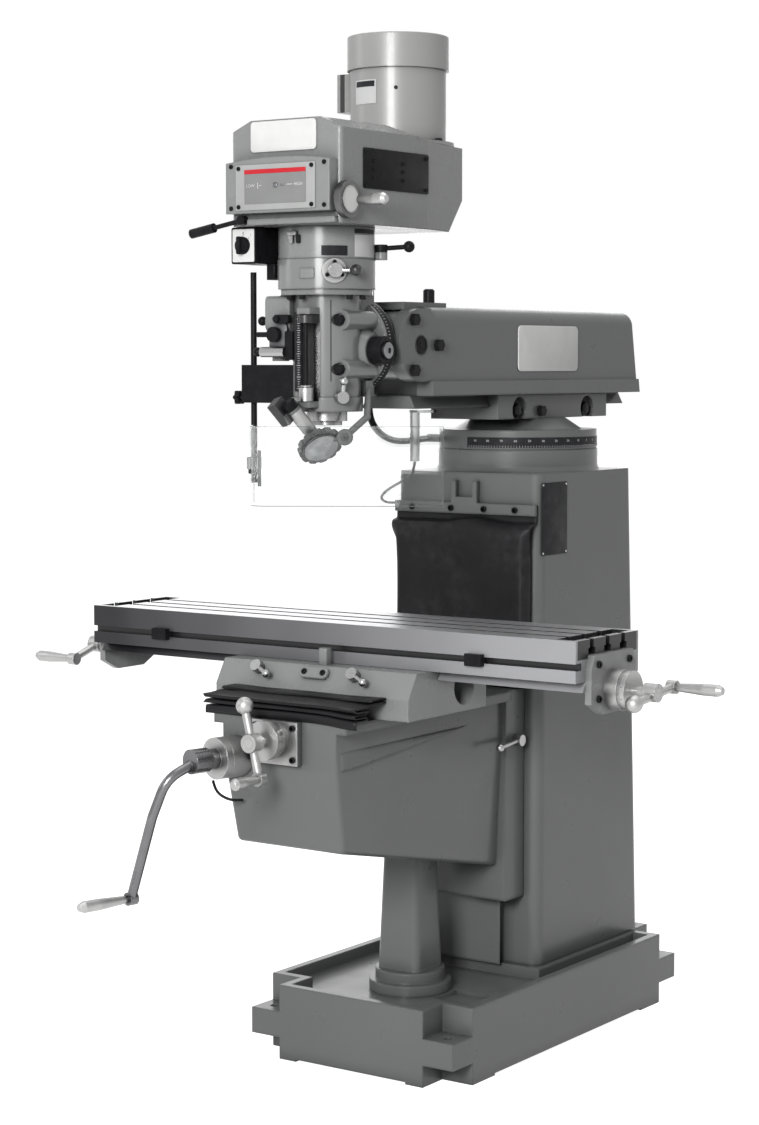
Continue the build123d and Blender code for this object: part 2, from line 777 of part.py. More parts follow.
def make_column():
    body = column_form(0, BASE_H, COLUMN_TOP)
    body -= column_form(COLUMN_WALL, BASE_H, COLUMN_TOP - COLUMN_ROOF)
    skirt_top = COLUMN_TOP + 2 * COLLAR_SKIRT
    body += cone_z(COLLAR_R + COLLAR_SKIRT, COLLAR_R, 0, TURRET_Y, COLUMN_TOP, skirt_top)
    body += rod_z(COLLAR_R, 0, TURRET_Y, COLUMN_TOP, COLLAR_TOP)
    way = [(x, COLUMN_FRONT - d) for x, d in dovetail(WAY_ROOT, WAY_FACE, WAY_DEPTH)]
    body += prism_z(way, BASE_H, COLUMN_TOP - WAY_TOP_DROP)
    body -= rod_z(COLLAR_BORE_R, 0, TURRET_Y, COLUMN_TOP - COLUMN_ROOF - 1, COLLAR_TOP + 1)
    gland_x, gland_y, gland_z = CABLE_ROUTE[-1]
    wall = -COLUMN_W / 2
    gland_y += CORD_GAP
    shell = (gland_y + GLAND_H, gland_y + GLAND_H + 2 * GLAND_R)
    body += block((gland_x - GLAND_R, wall + FUSE), shell, (gland_z - GLAND_R, gland_z + GLAND_R))
    return body + rod_y(CABLE_GLAND_R, gland_x, gland_z, gland_y, gland_y + GLAND_H + 1)


def make_pedestal():
    z0 = TRAY_FLOOR
    z1, z2 = z0 + PEDESTAL_STEP, z0 + 2 * PEDESTAL_STEP
    body = rod_z(PEDESTAL_FLANGE_R, 0, SCREW_Y, z0, z1) + rod_z(PEDESTAL_RING_R, 0, SCREW_Y, z1, z2)
    faces = []
    for z, width in ((z2, PEDESTAL_FOOT_W), (PEDESTAL_TOP, PEDESTAL_HEAD_W)):
        outline = RectangleRounded(width, width, PEDESTAL_CORNER_R)
        faces.append(Plane.XY.offset(z) * Pos(0, SCREW_Y) * outline)
    body += loft(faces)
    nut_foot = PEDESTAL_TOP - PEDESTAL_NUT_H
    body -= rod_z(SCREW_R + PEDESTAL_BORE_GAP, 0, SCREW_Y, z0 - 1, nut_foot)
    return body - rod_z(SCREW_R + RUN, 0, SCREW_Y, nut_foot - 1, PEDESTAL_TOP + 1)


def make_apron_bar():
    back = COLUMN_FRONT - APRON_T
    front = back - APRON_BAR_T
    bar_foot = APRON_TOP - APRON_BAR_H
    bar = block(both_sides(APRON_W / 2), (front, back), (bar_foot, APRON_TOP))
    half, leg = BRACKET_U_W / 2, BRACKET_U_LEG
    hook = block(both_sides(half), (front, COLUMN_FRONT), (APRON_TOP, APRON_TOP + BRACKET_U_H))
    mouth = (APRON_TOP + leg, APRON_TOP + BRACKET_U_H + 1)
    return bar + hook - block(both_sides(half - leg), (front - 1, COLUMN_FRONT + 1), mouth)


def make_apron():
    """Rubber sheet: clamped at the top, rolled forward over one fold, then hanging."""
    clamp_y = COLUMN_FRONT - APRON_T / 2
    bulge_y = COLUMN_FRONT - APRON_BULGE
    hang_y = COLUMN_FRONT - APRON_HANG
    foot = KNEE_TOP + SLIDE
    path = FilletPolyline(
        (clamp_y, APRON_TOP),
        (clamp_y, APRON_TOP - APRON_BAR_H - APRON_DROP),
        (bulge_y, APRON_TOP - APRON_FOLD_DROP),
        (hang_y - APRON_EASE, APRON_TOP - APRON_EASE_DROP),
        (hang_y, APRON_TOP - APRON_FALL_DROP),
        (hang_y - APRON_EASE, foot),
        radius=APRON_FOLD_R,
    )
    strip = trace(path, APRON_T)
    sheet = Plane.YZ.offset(-APRON_W / 2) * strip
    sheet = extrude(sheet, APRON_W, dir=(1, 0, 0))
    return sheet & block(both_sides(APRON_W), both_about(hang_y, APRON_W), (foot, APRON_TOP))


# Turret and ram
def make_turret():
    body = rod_z(TURRET_RING_R, 0, TURRET_Y, RING_FOOT, RING_TOP)
    body += cone_z(TURRET_NECK_R, TURRET_BLOCK_W / 2 + TURRET_FLARE, 0, TURRET_Y, RING_TOP, BLOCK_FOOT)
    block_y = (TURRET_BLOCK_FRONT, TURRET_BLOCK_FRONT + TURRET_BLOCK_L)
    body += block(both_sides(TURRET_BLOCK_W / 2), block_y, (BLOCK_FOOT, BLOCK_TOP))
    groove = dovetail(RAM_DOVE_ROOT, RAM_DOVE_FOOT, RAM_DOVE_H, SLIDE)
    groove = [(x, RAM_FOOT - d) for x, d in groove]
    body -= prism_y(groove, block_y[0] - 1, block_y[1] + 1)
    pinion_z = RAM_DOVE_Z - RAM_PINION_R - RAM_PINION_MESH
    body -= rod_x(RAM_PINION_R + RUN, RAM_PINION_Y, pinion_z, -TURRET_BLOCK_W / 3, TURRET_BLOCK_W)
    window_y = (RAM_PINION_Y - RAM_PINION_R - 1, RAM_PINION_Y + RAM_PINION_R + 1)
    body -= block(both_sides(RAM_DOVE_ROOT / 2), window_y, (pinion_z, RAM_DOVE_Z))
    pocket_z = BLOCK_FOOT + POCKET_RISE
    middle_y = (block_y[0] + block_y[1]) / 2
    face = TURRET_BLOCK_W / 2
    for side in (-1, 1):
        for end in (-1, 1):
            y = middle_y + end * POCKET_SPACING / 2
            pocket = rod_x(POCKET_R, y, pocket_z, side * (face - POCKET_DEPTH), side * (face + 1))
            body -= pocket & block(both_sides(TURRET_BLOCK_W), block_y, (BLOCK_FOOT, BLOCK_TOP))
    end_x, end_y, end_z = CONDUIT_ROUTE[-1]
    boss_x = (end_x - GLAND_R, -TURRET_RING_R * GLAND_ROOT_SHARE)
    boss_y = (end_y + CORD_GAP, end_y + CORD_GAP + 2 * GLAND_R)
    body += block(boss_x, boss_y, both_about(end_z, GLAND_R))
    return body - rod_z(COLLAR_BORE_R, 0, TURRET_Y, RING_FOOT - 1, BLOCK_FOOT - TURRET_ROOF)


def make_ram_pinion():
    z = RAM_DOVE_Z - RAM_PINION_R - RAM_PINION_MESH
    face = TURRET_BLOCK_W / 2
    shaft = rod_x(RAM_PINION_R, RAM_PINION_Y, z, -TURRET_BLOCK_W / 3 + 1, face + SLIDE)
    head = Plane.YZ.offset(face + SLIDE) * Pos(RAM_PINION_Y, z) * RegularPolygon(RAM_PINION_HEAD_R, 6)
    return shaft + extrude(head, RAM_PINION_R, dir=(1, 0, 0))


def make_ram():
    lip_top = RAM_FOOT + RAM_LIP_H
    lean = (RAM_REAR_FOOT - RAM_REAR_TOP) / RAM_H
    rear_lip = RAM_REAR_FOOT - lean * RAM_LIP_H
    half = RAM_W / 2
    lip = [(RAM_FRONT, RAM_FOOT), (RAM_REAR_FOOT, RAM_FOOT), (rear_lip, lip_top), (RAM_FRONT, lip_top)]
    body = prism_x(lip, -half, half)
    inner = half - RAM_LIP_STEP
    arch = [(RAM_FRONT, RAM_FOOT + 1), (RAM_REAR_FOOT - lean, RAM_FOOT + 1)]
    arch += [(RAM_REAR_TOP, RAM_TOP), (RAM_FRONT, RAM_TOP)]
    beam = prism_x(arch, -inner, inner)
    top_edges = beam.faces().sort_by(Axis.Z)[-1].edges().filter_by(Axis.Y)
    body += fillet(top_edges, RAM_EDGE_R)
    cheek = rod_x(CHEEK_R, NOD_Y, HEAD_Z, -inner, inner)
    cheek += block(both_sides(inner), (NOD_Y, RAM_FRONT + FUSE), (HEAD_Z - CHEEK_R, HEAD_Z + CHEEK_R))
    body += cheek
    pad_y = (RAM_PAD_FRONT, RAM_PAD_FRONT + RAM_PAD_L)
    pad = block(both_sides(inner - RAM_EDGE_R), pad_y, (HEAD_Z, RAM_TOP + RAM_PAD_H))
    body += pad
    slot_back = NOD_Y + TONGUE_R + SLIDE + 1
    slot_top = HEAD_Z + TONGUE_R + SLIDE + 1
    body -= block(both_sides(CHEEK_SLOT / 2), (NOD_Y - 2 * CHEEK_R, slot_back), (RAM_FOOT - 1, slot_top))
    pin_at = (inner - RAM_EDGE_R - 2 * RAM_PIN_R, RAM_PAD_FRONT + 0.75 * RAM_PAD_L)
    body += rod_z(RAM_PIN_R, *pin_at, RAM_TOP, RAM_TOP + RAM_PAD_H + RAM_PIN_H)
    tail = [(x, RAM_FOOT - d) for x, d in dovetail(RAM_DOVE_ROOT, RAM_DOVE_FOOT, RAM_DOVE_H)]
    body += prism_y(tail, RAM_FRONT, RAM_REAR_FOOT)
    gland_x, gland_y, gland_z = CONDUIT_ROUTE[0]
    body += rod_z(GLAND_R, gland_x, gland_y, gland_z + CORD_GAP, RAM_FOOT + 1)
    body -= rod_x(TRUNNION_R + RUN, NOD_Y, HEAD_Z, -RAM_W, RAM_W)
    for place in clamp_bolt_places():
        body -= place * Cylinder(CLAMP_BOLT_R + SEAT, RAM_W)
    return body


def clamp_bolt_places():
    """Three clamp bolts a side, square to the cheeks."""
    places = []
    for side in (-1, 1):
        for angle in (0, 120, 240):
            y = NOD_Y + CLAMP_CIRCLE_R * cos(radians(angle))
            z = HEAD_Z + CLAMP_CIRCLE_R * sin(radians(angle))
            x = side * (RAM_W / 2 - RAM_LIP_STEP)
            places.append(Plane(origin=(x, y, z), x_dir=(0, 1, 0), z_dir=(side, 0, 0)).location)
    return places


def make_ram_clamp_bolts():
    shank = RAM_W / 2 - RAM_LIP_STEP - CHEEK_SLOT / 2 - 1
    bolt = hex_bolt(CLAMP_HEAD_R, CLAMP_HEAD_H, CLAMP_BOLT_R, shank)
    return Compound([place * bolt for place in clamp_bolt_places()])


def make_adapter():
    half = CHEEK_SLOT / 2 - SLIDE
    body = rod_x(TONGUE_R, NOD_Y, HEAD_Z, -half, half)
    flange_back = HEAD_BACK + ADAPTER_FLANGE_T
    body += block(both_sides(half), (flange_back - 1, NOD_Y), both_about(HEAD_Z, TONGUE_NECK))
    body += rod_y(ADAPTER_FLANGE_R, 0, HEAD_Z, HEAD_BACK, flange_back)
    trunnion = RAM_W / 2 - RAM_LIP_STEP
    body += rod_x(TRUNNION_R, NOD_Y, HEAD_Z, -trunnion, trunnion)
    return body - rod_x(TRUNNION_BORE_R, NOD_Y, HEAD_Z, -RAM_W, RAM_W)


# Head castings
def make_quill_housing():
    back = HEAD_BACK - SLIDE
    body = rod_z(HOUSING_R, 0, SPINDLE_Y, HOUSING_Z0, HOUSING_Z1)
    neck_z = (HOUSING_Z0 + HOUSING_RING_H, HOUSING_Z1)
    body += block(both_sides(HOUSING_NECK_W / 2), (SPINDLE_Y, back), neck_z)
    body += rod_z(HOUSING_RING_R, 0, SPINDLE_Y, HOUSING_Z0, HOUSING_Z0 + HOUSING_RING_H)
    body += rod_y(HEAD_FLANGE_R, 0, HEAD_Z, back - HEAD_FLANGE_T, back)
    for x, front, z in head_stud_places():
        body += rod_y(HEAD_LOBE_R, x, z, front, back)
    rim = LOWER_GEAR_R - GEAR_RIM_INSET
    body += rod_z(rim, 0, SPINDLE_Y, HOUSING_Z1 - GEAR_PLATE, HOUSING_Z1)
    boss_end = HOUSING_NECK_W / 2 + QUILL_HUB_OUT - SLIDE
    boss = cone_x(QUILL_BOSS_ROOT_R, QUILL_BOSS_R, PINION_Y, PINION_Z, HOUSING_NECK_W / 2 - FUSE, boss_end)
    body += boss & block((0, 2 * boss_end), (SPINDLE_Y - HOUSING_R, back), (HOUSING_Z0, HOUSING_Z1))
    lug_x = both_about(STOP_X, STOP_COLLAR_R)
    lug_y = (STOP_ROD_Y - STOP_ROD_R * 2, SPINDLE_Y - QUILL_R - STOP_LUG_ROOT)
    for z in (STOP_FOOT, STOP_TOP):
        body += block(lug_x, lug_y, (z, z + STOP_LUG_T))
    body -= rod_z(QUILL_R + RUN, 0, SPINDLE_Y, HOUSING_Z0 - 1, HOUSING_Z1 + 1)
    slot_z = (STOP_FOOT + STOP_LUG_T, STOP_TOP)
    slot_y = (STOP_ROD_Y - 2 * STOP_COLLAR_R, SPINDLE_Y)
    body -= block(both_about(STOP_X, STOP_SLOT_W / 2), slot_y, slot_z)
    body -= rod_z(STOP_ROD_R + SEAT, STOP_X, STOP_ROD_Y, STOP_FOOT - 1, STOP_TOP + STOP_LUG_T + 1)
    body -= rod_x(QUILL_PINION_SHAFT_R + RUN, PINION_Y, PINION_Z, -HOUSING_NECK_W, HOUSING_NECK_W)
    half_pinion = QUILL_PINION_W / 2 + QUILL_HUB_GAP
    body -= rod_x(QUILL_PINION_R + 2 * QUILL_HUB_GAP, PINION_Y, PINION_Z, -half_pinion, half_pinion)
    body -= rod_x(QUILL_HUB_R + QUILL_HUB_GAP, PINION_Y, PINION_Z, boss_end, HEAD_FLANGE_R + 1)
    for x, front, z in head_stud_places():
        body -= rod_y(HEAD_STUD_R + SEAT, x, z, front - 1, back + 1)
        body -= rod_y(HEAD_SPOT_R, x, z, front - 2 * HEAD_NUT_H, front)
    lock_at, lock_out = quill_lock_frame()
    hole = Plane(origin=lock_at, z_dir=lock_out) * Cylinder(LOCK_SHANK_R + RUN, 2 * LOCK_SHANK_L)
    return body - hole


def head_stud_places():
    """X, front face and Z of each clamp stud's lobe."""
    places = []
    for x, lobe in ((HEAD_STUD_RIGHT, HEAD_LOBE_RIGHT_L), (HEAD_STUD_LEFT, HEAD_LOBE_LEFT_L)):
        for z in both_about(HEAD_Z, HEAD_STUD_Z):
            places.append((x, HEAD_BACK - lobe, z))
    return places


def make_head_clamp_bolts():
    bolts = []
    for x, front, z in head_stud_places():
        stud = hex_bolt(HEAD_NUT_R, HEAD_NUT_H, HEAD_STUD_R, HEAD_BACK - SLIDE - 1 - front)
        bolts.append(Plane(origin=(x, front, z), x_dir=(1, 0, 0), z_dir=(0, -1, 0)) * stud)
    return Compound(bolts)


def make_lower_gear_housing():
    body = rod_z(LOWER_GEAR_R, 0, SPINDLE_Y, HOUSING_Z1, LOWER_GEAR_TOP)
    body -= rod_z(LOWER_GEAR_R - GEAR_WALL, 0, SPINDLE_Y, HOUSING_Z1 + GEAR_PLATE, LOWER_GEAR_TOP + 1)
    body -= rod_z(PULLEY_HUB_R + RUN, 0, SPINDLE_Y, HOUSING_Z1 - 1, HOUSING_Z1 + GEAR_PLATE + 1)
    at, out = range_lever_frame()
    return body - Plane(origin=at, z_dir=out) * Cylinder(LEVER_SHANK_R + RUN, 2 * GEAR_WALL)


def make_upper_gear_housing():
    body = rod_z(UPPER_GEAR_R, 0, SPINDLE_Y, LOWER_GEAR_TOP, UPPER_GEAR_TOP)
    body -= rod_z(UPPER_GEAR_R - GEAR_WALL, 0, SPINDLE_Y, LOWER_GEAR_TOP - 1, UPPER_GEAR_TOP - GEAR_PLATE)
    body -= rod_z(PULLEY_HUB_R + RUN, 0, SPINDLE_Y, UPPER_GEAR_TOP - GEAR_PLATE - 1, UPPER_GEAR_TOP + 1)
    x, y, z = brake_pivot()
    ear = rod_z(BRAKE_EAR_R, x, y, z - BRAKE_EAR_H, z)
    root, out = around_spindle(BRAKE_ANGLE, UPPER_GEAR_R, z - BRAKE_EAR_H / 2)
    bridge = Box(2 * BRAKE_EAR_R, 1.6 * BRAKE_EAR_R, BRAKE_EAR_H)
    ear += Plane(origin=root, x_dir=out, z_dir=(0, 0, 1)) * bridge
    return body + ear - rod_z(LEVER_SHANK_R + RUN, x, y, z - BRAKE_EAR_H - 1, z + 1)


def belt_form(inset):
    """Belt housing drawn in by inset: bevelled top, tapered rear, rising belly and a round motor deck."""
    half, front, back = BELT_W / 2 - inset, BELT_FRONT + inset, BELT_BACK - inset
    right = [(half, front), (half, BELT_BEND_Y), (BELT_SHOULDER_HALF - inset, BELT_SHOULDER_Y)]
    right.append((BELT_BACK_HALF - inset / 2, back))
    left = [(-x, y) for x, y in reversed(right)]
    outline = Polygon(*right, *left, align=None)
    outline = fillet(outline.vertices(), BELT_CORNER_R)
    body = extrude(Plane.XY.offset(BELT_Z) * outline, BELT_CROWN, dir=(0, 0, 1))
    foot, edge, top = BELT_Z + inset, BELT_Z + BELT_EDGE - inset / 2, BELT_Z + BELT_CROWN - inset
    top_half = (BELT_TOP_W - inset) / 2
    section = [(-half, foot), (half, foot), (half, edge), (top_half, top), (-top_half, top), (-half, edge)]
    body &= prism_y(section, BELT_FRONT, BELT_BACK)
    belly = BELT_BELLY_Y - inset / 2
    reach = BELT_BACK - BELT_BELLY_Y
    below = [(belly, foot), (belly + 2 * reach, foot), (belly + 2 * reach, foot + 2 * BELT_BELLY_RISE)]
    body -= prism_x(below, -BELT_W, BELT_W)
    return body - rod_z(BELT_DECK_R + inset, 0, MOTOR_Y, MOTOR_Z - inset, MOTOR_Z + BELT_CROWN)


def make_belt_housing():
    body = belt_form(0) - belt_form(BELT_WALL)
    body -= rod_z(PULLEY_HUB_R * 2, 0, SPINDLE_Y, BELT_Z - 1, BELT_Z + BELT_WALL + 1)
    body -= rod_z(MOTOR_SHAFT_R * 2, 0, MOTOR_Y, MOTOR_Z - BELT_WALL - 1, MOTOR_Z + 1)
    x, y, z = speed_dial_place()
    body -= rod_x(LEVER_SHANK_R + RUN, y, z, x - 2 * BELT_WALL, x + 1)
    x, y, z = rate_lever_place()
    return body - rod_y(LEVER_SHANK_R + RUN, x, z, y - 1, y + 2 * BELT_WALL)


def make_speed_panel():
    body = panel_form(0, PANEL_T)
    return body - panel_form(PANEL_WALL, PANEL_T - PANEL_WALL)


def panel_form(inset, depth):
    """Panel outline with its arched top, carried forward from the belt housing."""
    half = PANEL_W / 2 - inset
    foot, edge = BELT_Z + PANEL_RISE + inset, BELT_Z + PANEL_RISE + PANEL_H - inset
    sides = Polyline((-half, edge), (-half, foot), (half, foot), (half, edge))
    arch = ThreePointArc((half, edge), (0, edge + PANEL_ARCH), (-half, edge))
    face = make_face(sides.edges() + arch.edges())
    return extrude(Plane.XZ.offset(-BELT_FRONT) * face, depth, dir=(0, -1, 0))


# Motor and drive
def make_motor_frame():
    body = rod_z(MOTOR_R, 0, MOTOR_Y, MOTOR_Z, MOTOR_TOP)
    body += rod_z(MOTOR_FLANGE_R, 0, MOTOR_Y, MOTOR_Z, MOTOR_Z + MOTOR_FLANGE_T)
    inner = (MOTOR_Z + MOTOR_WALL, MOTOR_TOP - MOTOR_WALL)
    body -= rod_z(MOTOR_R - MOTOR_WALL, 0, MOTOR_Y, *inner)
    stator_z = (inner[0] + STATOR_INSET, inner[1] - STATOR_INSET)
    stator = rod_z(MOTOR_R - MOTOR_WALL + 1, 0, MOTOR_Y, *stator_z)
    body += stator - rod_z(ROTOR_R + ROTOR_GAP, 0, MOTOR_Y, *stator_z)
    return body - rod_z(MOTOR_SHAFT_R + RUN, 0, MOTOR_Y, MOTOR_Z - 1, MOTOR_TOP + 1)


def make_motor_cap():
    top = MOTOR_TOP + MOTOR_CAP_H
    body = rod_z(MOTOR_CAP_R, 0, MOTOR_Y, MOTOR_TOP, top)
    body = fillet(body.edges().sort_by(Axis.Z)[-1], MOTOR_CAP_EDGE_R)
    inside = (MOTOR_TOP + MOTOR_CAP_WALL, top - MOTOR_CAP_EDGE_R - MOTOR_CAP_WALL)
    body -= rod_z(MOTOR_CAP_R - MOTOR_CAP_WALL, 0, MOTOR_Y, *inside)
    return body - rod_z(MOTOR_SHAFT_R * 2, 0, MOTOR_Y, MOTOR_TOP - 1, MOTOR_TOP + MOTOR_CAP_WALL + 1)


def make_terminal_box():
    z = (MOTOR_Z + TERMINAL_RISE, MOTOR_Z + TERMINAL_RISE + TERMINAL_H)
    x = (-MOTOR_R - TERMINAL_OUT, -MOTOR_R + TERMINAL_SUNK)
    body = block(x, both_about(MOTOR_Y, TERMINAL_W / 2), z)
    body = fillet(body.edges().filter_by(Axis.Z), TERMINAL_EDGE_R)
    return body - rod_z(MOTOR_R + SEAT, 0, MOTOR_Y, z[0] - 1, z[1] + 1)


def sheaves(y):
    """Two facing cones that grip the belt, on one core."""
    low, high = BAND_Z - SLIDE, BAND_Z + BELT_BAND + SLIDE
    body = rod_z(PULLEY_CORE_R, 0, y, low, high)
    body += cone_z(PULLEY_CORE_R, PULLEY_R, 0, y, low - SHEAVE_T, low)
    return body + cone_z(PULLEY_R, PULLEY_CORE_R, 0, y, high, high + SHEAVE_T)


def make_motor_rotor():
    fan_z = MOTOR_TOP + FAN_RISE
    ends = MOTOR_WALL + STATOR_INSET + ROTOR_END_GAP
    body = rod_z(MOTOR_SHAFT_R, 0, MOTOR_Y, BAND_Z - SHEAVE_T - SLIDE, fan_z + FAN_H)
    body += sheaves(MOTOR_Y)
    body += rod_z(ROTOR_R, 0, MOTOR_Y, MOTOR_Z + ends, MOTOR_TOP - ends)
    return body + rod_z(FAN_R, 0, MOTOR_Y, fan_z, fan_z + FAN_H)


def make_spindle_pulley():
    body = rod_z(PULLEY_HUB_R, 0, SPINDLE_Y, PULLEY_HUB_FOOT, PULLEY_TOP) + sheaves(SPINDLE_Y)
    return body - rod_z(SPINDLE_TOP_R + RUN, 0, SPINDLE_Y, PULLEY_HUB_FOOT - 1, PULLEY_TOP + 1)


def make_drive_belt():
    middle = Pos(0, (SPINDLE_Y + MOTOR_Y) / 2) * Rot(0, 0, 90)
    centres = MOTOR_Y - SPINDLE_Y
    outer_r = BELT_LOOP_R + BELT_T
    ring = SlotCenterToCenter(centres, 2 * outer_r) - SlotCenterToCenter(centres, 2 * BELT_LOOP_R)
    return extrude(Plane.XY.offset(BAND_Z) * middle * ring, BELT_BAND, dir=(0, 0, 1))


# Quill and its stop
def make_quill():
    body = rod_z(QUILL_R, 0, SPINDLE_Y, QUILL_FOOT, QUILL_TOP)
    collar_foot = STOP_TOP - STOP_COLLAR_H - 2
    arm_x = (STOP_X - STOP_SLOT_W / 2 + SLIDE, STOP_X + STOP_SLOT_W / 2 - SLIDE)
    body += block(arm_x, (STOP_ROD_Y, SPINDLE_Y - QUILL_R / 2), (collar_foot, collar_foot + STOP_COLLAR_H))
    body += rod_z(STOP_COLLAR_R, STOP_X, STOP_ROD_Y, collar_foot, collar_foot + STOP_COLLAR_H)
    body -= rod_z(STOP_ROD_R + SLIDE, STOP_X, STOP_ROD_Y, collar_foot - 1, STOP_TOP)
    return body - rod_z(SPINDLE_R + RUN, 0, SPINDLE_Y, QUILL_FOOT - 1, QUILL_TOP + 1)


def make_spindle():
    nose = QUILL_FOOT - SPINDLE_NOSE_H
    body = rod_z(SPINDLE_NOSE_R, 0, SPINDLE_Y, nose, QUILL_FOOT - SLIDE)
    body += rod_z(SPINDLE_R, 0, SPINDLE_Y, nose, QUILL_TOP - 1)
    body += rod_z(SPINDLE_TOP_R, 0, SPINDLE_Y, nose, PULLEY_TOP - SPINDLE_TOP_DROP)
    return body - rod_z(SPINDLE_BORE_R, 0, SPINDLE_Y, nose - 1, nose + SPINDLE_BORE_L)


def make_stop_rod():
    return rod_z(STOP_ROD_R, STOP_X, STOP_ROD_Y, STOP_FOOT, STOP_TOP + STOP_LUG_T)


def make_stop_nut():
    foot = STOP_FOOT + STOP_LUG_T + SLIDE
    body = rod_z(STOP_NUT_R, STOP_X, STOP_ROD_Y, foot, foot + STOP_NUT_H)
    return body - rod_z(STOP_ROD_R + RUN, STOP_X, STOP_ROD_Y, foot - 1, foot + STOP_NUT_H + 1)


def make_quill_feed_hub():
    half = HOUSING_NECK_W / 2
    body = rod_x(QUILL_PINION_SHAFT_R, PINION_Y, PINION_Z, -half, half + QUILL_HUB_OUT)
    body += rod_x(QUILL_PINION_R, PINION_Y, PINION_Z, -QUILL_PINION_W / 2, QUILL_PINION_W / 2)
    disc = half + QUILL_HUB_OUT
    return body + rod_x(QUILL_HUB_R, PINION_Y, PINION_Z, disc, disc + QUILL_HUB_T)


# Head controls
def around_spindle(angle, reach, z):
    """Point at an angle from +X about the spindle, and the outward direction there."""
    out = (cos(radians(angle)), sin(radians(angle)), 0)
    return (reach * out[0], SPINDLE_Y + reach * out[1], z), out


def range_lever_frame():
    return around_spindle(RANGE_ANGLE, LOWER_GEAR_R, HOUSING_Z1 + LOWER_GEAR_H * RANGE_SHARE)


def quill_lock_frame():
    return around_spindle(QUILL_LOCK_ANGLE, HOUSING_RING_R, HOUSING_Z0 + HOUSING_RING_H)


def brake_pivot():
    return around_spindle(BRAKE_ANGLE, UPPER_GEAR_R + BRAKE_EAR_R, LOWER_GEAR_TOP + BRAKE_EAR_H)[0]


def speed_dial_place():
    return (BELT_W / 2, BELT_FRONT + SPEED_DIAL_BACK, BELT_Z + SPEED_DIAL_RISE)


def rate_lever_place():
    return (RATE_LEVER_X, BELT_FRONT, BELT_Z + RATE_LEVER_RISE)


def make_range_lever():
    at, out = range_lever_frame()
    along, high = RANGE_TIP
    plane = Plane(origin=at, z_dir=out, x_dir=(-out[1], out[0], 0))
    body = Pos(0, 0, SLIDE + RANGE_HUB_H / 2) * Cylinder(RANGE_HUB_R, RANGE_HUB_H)
    body += Pos(0, 0, 1 - GEAR_WALL / 2) * Cylinder(LEVER_SHANK_R, GEAR_WALL + 2)
    body += strut((0, 0, high - 2 * LEVER_BAR_R), (along, 0, high), LEVER_BAR_R)
    return plane * (body + ball((along, 0, high), LEVER_BALL_R))


def make_brake_lever():
    x, y, z = brake_pivot()
    reach = UPPER_GEAR_R + BRAKE_EAR_R + BRAKE_REACH
    tip, out = around_spindle(BRAKE_ANGLE, reach, z + BRAKE_TIP_RISE)
    body = rod_z(BRAKE_EAR_R, x, y, z + SLIDE, z + BRAKE_EAR_H)
    body += rod_z(LEVER_SHANK_R, x, y, z - BRAKE_EAR_H, z + 1)
    return body + strut((x, y, z + BRAKE_EAR_H / 2), tip, LEVER_BAR_R) + ball(tip, LEVER_BALL_R)


def make_speed_dial():
    x, y, z = speed_dial_place()
    body = rod_x(SPEED_DIAL_R, y, z, x + SLIDE, x + SLIDE + SPEED_DIAL_T)
    body += rod_x(LEVER_SHANK_R, y, z, x - BELT_WALL, x + 1)
    handle = Plane(origin=(x + SPEED_DIAL_T, y + SPEED_DIAL_R * DIAL_HANDLE_SHARE, z), z_dir=(1, 0, 0))
    return body + handle * grip(DIAL_HANDLE_L)


def make_rate_lever():
    x, y, z = rate_lever_place()
    tip_x, tip_z = RATE_LEVER_TIP
    body = rod_y(RATE_HUB_R, x, z, y - RATE_HUB_L, y - SLIDE)
    body += rod_y(LEVER_SHANK_R, x, z, y - 2, y + BELT_WALL)
    arm_y = y - RATE_HUB_L / 2 - SLIDE
    start, thick, inner, end = [(x + t * tip_x, arm_y, z + t * tip_z) for t in (0.02, 0.55, 0.65, 1)]
    return body + strut(start, inner, LEVER_BAR_R) + strut(thick, end, RATE_GRIP_R)


def make_switch_box():
    x = both_about(SWITCH_X, SWITCH_W / 2)
    body = block(x, (SWITCH_FRONT, SWITCH_FRONT + SWITCH_L), (BELT_Z - SWITCH_H, BELT_Z))
    body = fillet(body.edges().filter_by(Axis.Y), SWITCH_EDGE_R)
    body -= rod_z(max(LOWER_GEAR_R, UPPER_GEAR_R) + SEAT, 0, SPINDLE_Y, HOUSING_Z1, BELT_Z + 1)
    hole_y = (SWITCH_FRONT - 1, SWITCH_FRONT + SWITCH_HOLE_L)
    return body - rod_y(LEVER_SHANK_R + RUN, SWITCH_X, BELT_Z - SWITCH_H / 2, *hole_y)


def make_switch_knob():
    z = BELT_Z - SWITCH_H / 2
    body = rod_y(SWITCH_KNOB_R, SWITCH_X, z, SWITCH_FRONT - SWITCH_KNOB_T, SWITCH_FRONT - SLIDE)
    body += rod_y(LEVER_SHANK_R, SWITCH_X, z, SWITCH_FRONT - 2, SWITCH_FRONT + SWITCH_HOLE_L - 2)
    bar_y = (SWITCH_FRONT - SWITCH_BAR_L, SWITCH_FRONT - SWITCH_KNOB_T + 1)
    return body + block(both_about(SWITCH_X, SWITCH_BAR_W / 2), bar_y, both_about(z, SWITCH_KNOB_R))


def feed_knob_place():
    y = (FEED_BOX_Y[0] + FEED_BOX_Y[1]) / 2
    return (FEED_BOX_X[0], y, HEAD_Z + FEED_BOX_RISE + FEED_KNOB_RISE)


